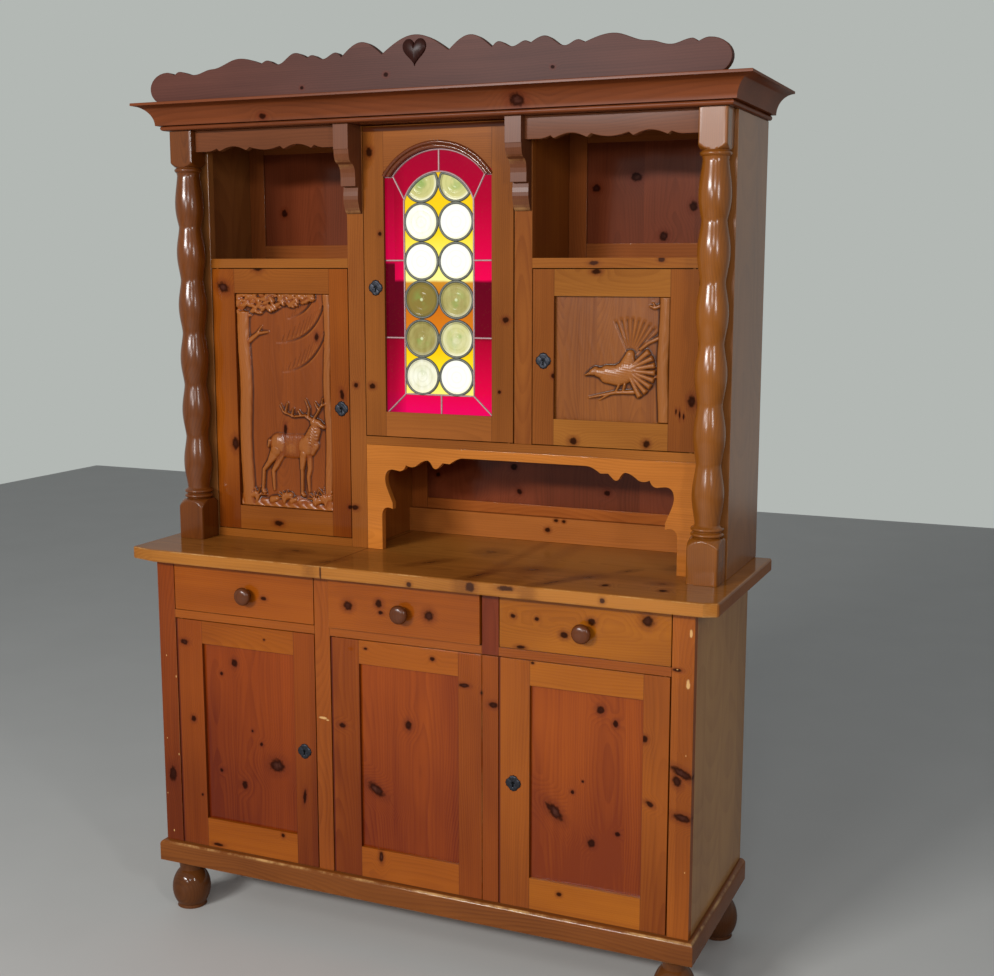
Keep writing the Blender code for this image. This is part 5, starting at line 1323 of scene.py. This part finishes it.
outer = arched_outline(HALF_OPENING + REBATE, OPENING_FOOT - REBATE, ARCH_SPRING, ARCH_TOP + REBATE)
inner = arched_outline(FIELD_HALF, FIELD_FOOT, FIELD_SPRING, FIELD_TOP)
count = len(outer)
spots = [(x, y, z) for y in (GLASS_FRONT, GLASS_BACK) for line in (outer, inner) for x, z in line]
faces = []
for k in range(count):
    n = (k + 1) % count
    faces.append((k, n, count + n, count + k))
    faces.append((2 * count + k, 3 * count + k, 3 * count + n, 2 * count + n))
    faces.append((k, 2 * count + k, 2 * count + n, n))
    faces.append((count + k, count + n, 3 * count + n, 3 * count + k))
red_finish = glass_finish("leaded_glass_red", red_glow, 26.0, 0.0010)
piece("glass_red_border", mesh_of("glass_red_border", spots, faces), red_finish, "glass_door",
      ["glass_door_glass"])
spots = [(x, y, z) for y in (GLASS_FRONT, GLASS_BACK) for x, z in inner]
faces = [tuple(range(count)), tuple(range(count, 2 * count))[::-1]]
faces += [(k, count + k, count + (k + 1) % count, (k + 1) % count) for k in range(count)]
yellow_finish = glass_finish("leaded_glass_yellow", yellow_glow, 34.0, 0.0008)
piece("glass_yellow_field", mesh_of("glass_yellow_field", spots, faces), yellow_finish, "glass_door")

ROUNDEL, ROUNDEL_OFFSET = 0.0412, 0.0435
# Glow level of each row's two roundels; the low levels in the middle rows carry the painted shelf shadow.
roundel_rows = ((1.334, 0.68, 1.0), (1.4205, 0.16, 0.54), (1.509, 0.0, 0.20), (1.595, 1.0, 1.0),
                (1.683, 0.76, 1.0), (1.769, 0.36, 0.46))
field_radius = (FIELD_HALF ** 2 + (FIELD_TOP - FIELD_SPRING) ** 2) / (2 * (FIELD_TOP - FIELD_SPRING))
field_centre = FIELD_TOP - field_radius
ROUNDEL_TURNS, ROUNDEL_STEPS, ROUNDEL_RIPPLES = 64, 26, 21.0
spots, faces, spread, glow, lit_side = [], [], [], [], []
came_spots, came_faces = [], []
CAME_WIDTH, CAME_RISE, BORDER_CAME = 0.0062, 0.0026, 0.0042
CAME_SUNK, CAME_SIDES = 0.0030, 6
for level, *brightness in roundel_rows:
    for x_middle, bright in zip((GLASS_MIDDLE - ROUNDEL_OFFSET, GLASS_MIDDLE + ROUNDEL_OFFSET), brightness):
        rim = []
        for k in range(ROUNDEL_TURNS):
            turn = math.tau * k / ROUNDEL_TURNS
            ray = Vector((math.cos(turn), math.sin(turn)))
            start = Vector((x_middle - GLASS_MIDDLE, level - field_centre))
            reach = ROUNDEL
            if level > FIELD_SPRING - ROUNDEL:
                lean = start.dot(ray)
                to_arch = -lean + math.sqrt(lean ** 2 - start.dot(start)
                                            + (field_radius - CAME_WIDTH / 2) ** 2)
                reach = min(ROUNDEL, to_arch)
            rim.append((ray, reach))
        base = len(spots)
        spots.append((x_middle, GLASS_FRONT - 0.0040, level))
        spread.append(0.0)
        lit_side.append(0.0)
        for n in range(1, ROUNDEL_STEPS + 1):
            share = n / ROUNDEL_STEPS
            for ray, reach in rim:
                far_out = share * reach / ROUNDEL
                nub = 0.0026 * math.exp(-(far_out / 0.13) ** 2)
                wave = 0.00045 * math.cos(far_out * ROUNDEL_RIPPLES) * (1 - 0.4 * far_out)
                wave = wave + 0.0010 + 0.0006 * far_out ** 6
                spots.append((x_middle + ray.x * reach * share, GLASS_FRONT - nub - wave,
                              level + ray.y * reach * share))
                spread.append(far_out)
                lit_side.append(0.5 + 0.5 * (0.6 * ray.x - 0.8 * ray.y))
        glow.extend([bright] * (1 + ROUNDEL_TURNS * ROUNDEL_STEPS))
        for k in range(ROUNDEL_TURNS):
            n = (k + 1) % ROUNDEL_TURNS
            faces.append((base, base + 1 + n, base + 1 + k))
            for step in range(ROUNDEL_STEPS - 1):
                first = base + 1 + step * ROUNDEL_TURNS
                faces.append((first + k, first + n, first + ROUNDEL_TURNS + n, first + ROUNDEL_TURNS + k))
        line = [(x_middle + ray.x * reach, level + ray.y * reach) for ray, reach in rim]
        strip(strip_rings(line, CAME_WIDTH, CAME_RISE, GLASS_FRONT - 0.0012, CAME_SUNK, True, CAME_SIDES),
              came_spots, came_faces, True)
roundel_mesh = mesh_of("glass_roundels", spots, faces)
for label, values in (("spread", spread), ("glow", glow), ("lit_side", lit_side)):
    roundel_mesh.attributes.new(label, "FLOAT", "POINT").data.foreach_set("value", values)


def roundel_glow(tree, place):
    reads = []
    for label in ("glow", "spread", "lit_side"):
        read = tree.nodes.new("ShaderNodeAttribute")
        read.attribute_name = label
        reads.append(read.outputs["Fac"])
    bright, far_out, lit_side = reads
    streaky = mottle(tree, vectors(tree, "MULTIPLY", place, (60.0, 60.0, 26.0)), 1.0, 3.0)
    level = sums(tree, "ADD", bright, sums(tree, "MULTIPLY_ADD", streaky, 0.30, -0.15))
    shade = tinted(tree, eased(tree, level, 0.0, 0.45), tint(136, 118, 58), tint(206, 202, 134))
    shade = tinted(tree, eased(tree, level, 0.45, 0.85), shade, tint(255, 255, 244))
    rings = sums(tree, "COSINE", sums(tree, "MULTIPLY", far_out, ROUNDEL_RIPPLES))
    shade = tinted(tree, sums(tree, "MULTIPLY", eased(tree, rings, 0.2, 1.0), 0.10), shade,
                   tint(120, 124, 64))
    dim = sums(tree, "SUBTRACT", 1.0, eased(tree, level, 0.5, 0.8))
    cloud = eased(tree, mottle(tree, place, 34.0, 2.0), 0.40, 0.70)
    green = sums(tree, "MULTIPLY", sums(tree, "SUBTRACT", 1.0, eased(tree, far_out, 0.05, 0.75)), cloud)
    shade = tinted(tree, sums(tree, "MULTIPLY", sums(tree, "MULTIPLY", green, dim), 0.75), shade,
                   tint(128, 168, 84))
    groove = sums(tree, "SUBTRACT", eased(tree, far_out, 0.80, 0.85), eased(tree, far_out, 0.88, 0.93))
    shade = tinted(tree, sums(tree, "MULTIPLY", sums(tree, "MULTIPLY", groove, dim), 0.45), shade,
                   tint(92, 86, 46))
    # Painted highlight: a pale cream crescent on the lit side of each roundel's rim.
    edge = sums(tree, "MULTIPLY", eased(tree, far_out, 0.74, 0.90), eased(tree, lit_side, 0.35, 0.85))
    edge = sums(tree, "MULTIPLY", edge, eased(tree, bright, 0.05, 0.35))
    shade = tinted(tree, sums(tree, "MULTIPLY", edge, 0.85), shade, tint(250, 246, 206))
    # Painted highlight: a pale spot on the central nub of the darker roundels.
    bullseye_highlight = sums(tree, "MULTIPLY", sums(tree, "SUBTRACT", 1.0, eased(tree, far_out, 0.05, 0.12)),
                    sums(tree, "SUBTRACT", 1.0, eased(tree, bright, 0.22, 0.32)))
    shade = tinted(tree, sums(tree, "MULTIPLY", bullseye_highlight, 0.7), shade, tint(226, 236, 190))
    return shade


roundel_finish = glass_finish("leaded_glass_roundels", roundel_glow, 60.0, 0.0006)
piece("glass_roundels", roundel_mesh, roundel_finish, "glass_door", sharp=70)


def lead_finish(name, dull, bright):
    finish = bpy.data.materials.new(name)
    finish.use_nodes = True
    tree = finish.node_tree
    shader = tree.nodes["Principled BSDF"]
    place = tree.nodes.new("ShaderNodeTexCoord").outputs["Object"]
    tarnish = mottle(tree, place, 160.0, 3.0)
    feed(tree, shader.inputs["Base Color"], tinted(tree, tarnish, tint(*dull), tint(*bright)))
    feed(tree, shader.inputs["Roughness"], sums(tree, "MULTIPLY_ADD", tarnish, 0.25, 0.35))
    shader.inputs["Metallic"].default_value = 0.35
    return finish


piece("glass_roundel_cames", mesh_of("glass_roundel_cames", came_spots, came_faces),
      lead_finish("lead_dark", (66, 70, 62), (112, 112, 102)), "glass_door", sharp=60)
came_spots, came_faces = [], []
came_line = arched_outline(FIELD_HALF, FIELD_FOOT, FIELD_SPRING, FIELD_TOP)
strip(strip_rings(came_line, BORDER_CAME, CAME_RISE, GLASS_FRONT - 0.0008, CAME_SUNK, True, CAME_SIDES),
      came_spots, came_faces, True)
strip(strip_rings(arch_line(0.1147, BEAD_SPRING, 1.8425, 36), BORDER_CAME, CAME_RISE, GLASS_FRONT - 0.0006,
                  CAME_SUNK, False, CAME_SIDES), came_spots, came_faces)
for start, end in (((0.001, 1.796), (0.001, 1.843)), ((-0.0856, 1.732), (-0.1145, 1.784)),
                   ((0.0865, 1.732), (0.1135, 1.785)), ((-0.1145, 1.784), (-0.1365, 1.784)),
                   ((0.1135, 1.785), (0.1355, 1.785)), ((-0.0870, 1.597), (-0.1365, 1.597)),
                   ((0.0870, 1.597), (0.1355, 1.597)), ((-0.0870, 1.421), (-0.1365, 1.421)),
                   ((0.0870, 1.424), (0.1355, 1.424)), ((-0.0865, 1.292), (-0.1320, 1.249)),
                   ((0.0865, 1.292), (0.1320, 1.249)), ((0.0045, 1.292), (0.0045, 1.249))):
    strip(strip_rings([start, end], BORDER_CAME, CAME_RISE, GLASS_FRONT - 0.0006, CAME_SUNK, False,
                      CAME_SIDES), came_spots, came_faces)
piece("glass_border_cames", mesh_of("glass_border_cames", came_spots, came_faces),
      lead_finish("lead_pale", (146, 112, 116), (190, 156, 156)), "glass_door", sharp=60)


# Keyhole plates
# Five small blackened iron plates cut as four-lobed rosettes, with a keyhole in the middle; the keyhole is a
# shallow pocket whose closed floor is painted near black, a painted shade standing in for the dark hole.
# They are pinned to the doors that lock; the centre door of the base has none.
iron_finish = bpy.data.materials.new("keyhole_iron")
iron_finish.use_nodes = True
tree = iron_finish.node_tree
shader = tree.nodes["Principled BSDF"]
place = tree.nodes.new("ShaderNodeTexCoord").outputs["Object"]
scale_marks = mottle(tree, place, 240.0, 4.0, 0.6)
shade = tinted(tree, scale_marks, tint(20, 21, 25), tint(62, 64, 72))
# Painted shade: the keyhole's floor is coloured near black, standing in for the dark inside of the hole.
keyhole_shade_read = tree.nodes.new("ShaderNodeAttribute")
keyhole_shade_read.attribute_name = "keyhole"
feed(tree, shader.inputs["Base Color"],
     tinted(tree, eased(tree, keyhole_shade_read.outputs["Fac"], 0.2, 0.8), shade, tint(5, 5, 6)))
feed(tree, shader.inputs["Roughness"], sums(tree, "MULTIPLY_ADD", scale_marks, 0.35, 0.25))
shader.inputs["Metallic"].default_value = 0.8
bump = tree.nodes.new("ShaderNodeBump")
bump.inputs["Strength"].default_value = 0.5
bump.inputs["Distance"].default_value = 0.0006
feed(tree, bump.inputs["Height"], scale_marks)
feed(tree, shader.inputs["Normal"], bump.outputs["Normal"])
PLATE_RADIUS, PLATE_THICK, KEYHOLE, PLATE_POINTS = 0.0180, 0.0028, 0.0034, 96
SLOT_DROP, SLOT_HALF = 0.0085, 0.0013
for label, body, x, z, face in (("upper_left", "upper_door_left", -0.254, 1.251, UPPER_FACE),
                                ("glass", "glass_door", -0.158, 1.535, UPPER_FACE),
                                ("upper_right", "upper_door_right", 0.2585, 1.378, UPPER_FACE),
                                ("base_left", "base_door_left", -0.2635, 0.464, BASE_FACE),
                                ("base_right", "base_door_right", 0.2655, 0.467, BASE_FACE)):
    rings = []
    for share, out in ((0.0, 0.12), (0.0, 0.8), (0.10, 1.0), (0.30, 1.30), (0.45, 1.10), (0.60, 1.25),
                       (0.80, 1.20), (0.94, 0.8), (1.0, 0.35), (1.0, -0.0005)):
        ring = []
        for k in range(PLATE_POINTS):
            turn = math.tau * k / PLATE_POINTS
            slot = min(SLOT_DROP, SLOT_HALF / max(abs(math.cos(turn)), 0.15))
            hole = KEYHOLE if math.sin(turn) > -0.35 else slot
            petal = abs(math.cos(2 * turn)) ** 0.55
            lobe = PLATE_RADIUS * (0.80 + 0.20 * petal + 0.03 * math.cos(16 * turn))
            reach = hole + (lobe - hole) * share
            puff = out * (0.75 + 0.25 * petal) if 0.2 < share < 0.9 else out
            ring.append((x + reach * math.cos(turn), face - PLATE_THICK * puff, z + reach * math.sin(turn)))
        rings.append(ring)
    mesh = ring_mesh("keyhole_plate_" + label, rings)
    mesh.attributes.new("keyhole", "FLOAT", "POINT").data.foreach_set(
        "value", [1.0] * PLATE_POINTS + [0.0] * PLATE_POINTS * (len(rings) - 1))
    piece("keyhole_plate_" + label, mesh, iron_finish, body, sharp=45)


# Studio
# A pale floor and a pale surround, with two soft panels high in front and a lower one between them.
# A small panel lights the right end, and a weak wide one fills the shadows.
FLOOR_HALF = 6
corners = [(x * FLOOR_HALF, y * FLOOR_HALF, 0) for x, y in ((-1, -1), (1, -1), (1, 1), (-1, 1))]
floor = mesh_of("studio_floor", corners, [(0, 1, 2, 3)])
floor_finish = bpy.data.materials.new("studio_floor")
floor_finish.use_nodes = True
tree = floor_finish.node_tree
spot = tree.nodes.new("ShaderNodeTexCoord").outputs["Object"]
feed(tree, tree.nodes["Principled BSDF"].inputs["Base Color"],
     tinted(tree, mottle(tree, spot, 3.0), tint(196, 196, 192), tint(204, 204, 200)))
tree.nodes["Principled BSDF"].inputs["Roughness"].default_value = 0.6
floor.materials.append(floor_finish)
stage = bpy.data.objects.new("studio_floor", floor)
bpy.context.scene.collection.objects.link(stage)


def panel_light(name, place, size, watts, aim):
    lamp = bpy.data.lights.new(name, "AREA")
    lamp.shape = "RECTANGLE"
    lamp.size, lamp.size_y = size
    lamp.energy = watts
    holder = bpy.data.objects.new(name, lamp)
    holder.location = place
    holder.rotation_euler = (Vector(aim) - Vector(place)).to_track_quat("-Z", "Y").to_euler()
    holder.visible_camera = False
    bpy.context.scene.collection.objects.link(holder)
    return holder


panel_light("left_panel", (-1.60, -5.00, 2.95), (1.60, 0.30), 182.0, (0.0, 0.0, 1.1))
panel_light("right_panel", (1.60, -4.60, 2.80), (0.80, 0.30), 26.0, (0.0, 0.0, 1.1))
panel_light("low_panel", (-0.10, -5.00, 2.00), (0.70, 0.30), 30.0, (0.0, 0.0, 1.3))
panel_light("right_strip", (2.30, -2.10, 1.95), (0.22, 0.60), 15.0, (0.2, 0.0, 1.2))
fill = panel_light("front_fill", (-0.5, -4.2, 1.2), (3.0, 1.6), 3.0, (0.0, 0.0, 0.9))
fill.visible_glossy = False
world = bpy.data.worlds.new("studio")
bpy.context.scene.world = world
world.use_nodes = True
tree = world.node_tree
path = tree.nodes.new("ShaderNodeLightPath").outputs
seen = sums(tree, "MAXIMUM", path["Is Camera Ray"],
            sums(tree, "MAXIMUM", path["Is Glossy Ray"], path["Is Transmission Ray"]))
feed(tree, tree.nodes["Background"].inputs["Color"],
     tinted(tree, seen, tint(110, 112, 116), tint(179, 184, 180)))
tree.nodes["Background"].inputs["Strength"].default_value = 1.0
bpy.context.scene.view_settings.view_transform = "Standard"
eye = bpy.data.cameras.new("photo_view")
eye.lens = 50.25
eye.sensor_width = 36.0
camera = bpy.data.objects.new("photo_view", eye)
camera.location = (1.389, -2.879, 1.583)
camera.rotation_euler = (math.radians(90 - 9.062), 0.0, math.radians(23.525))
bpy.context.scene.collection.objects.link(camera)
bpy.context.scene.camera = camera
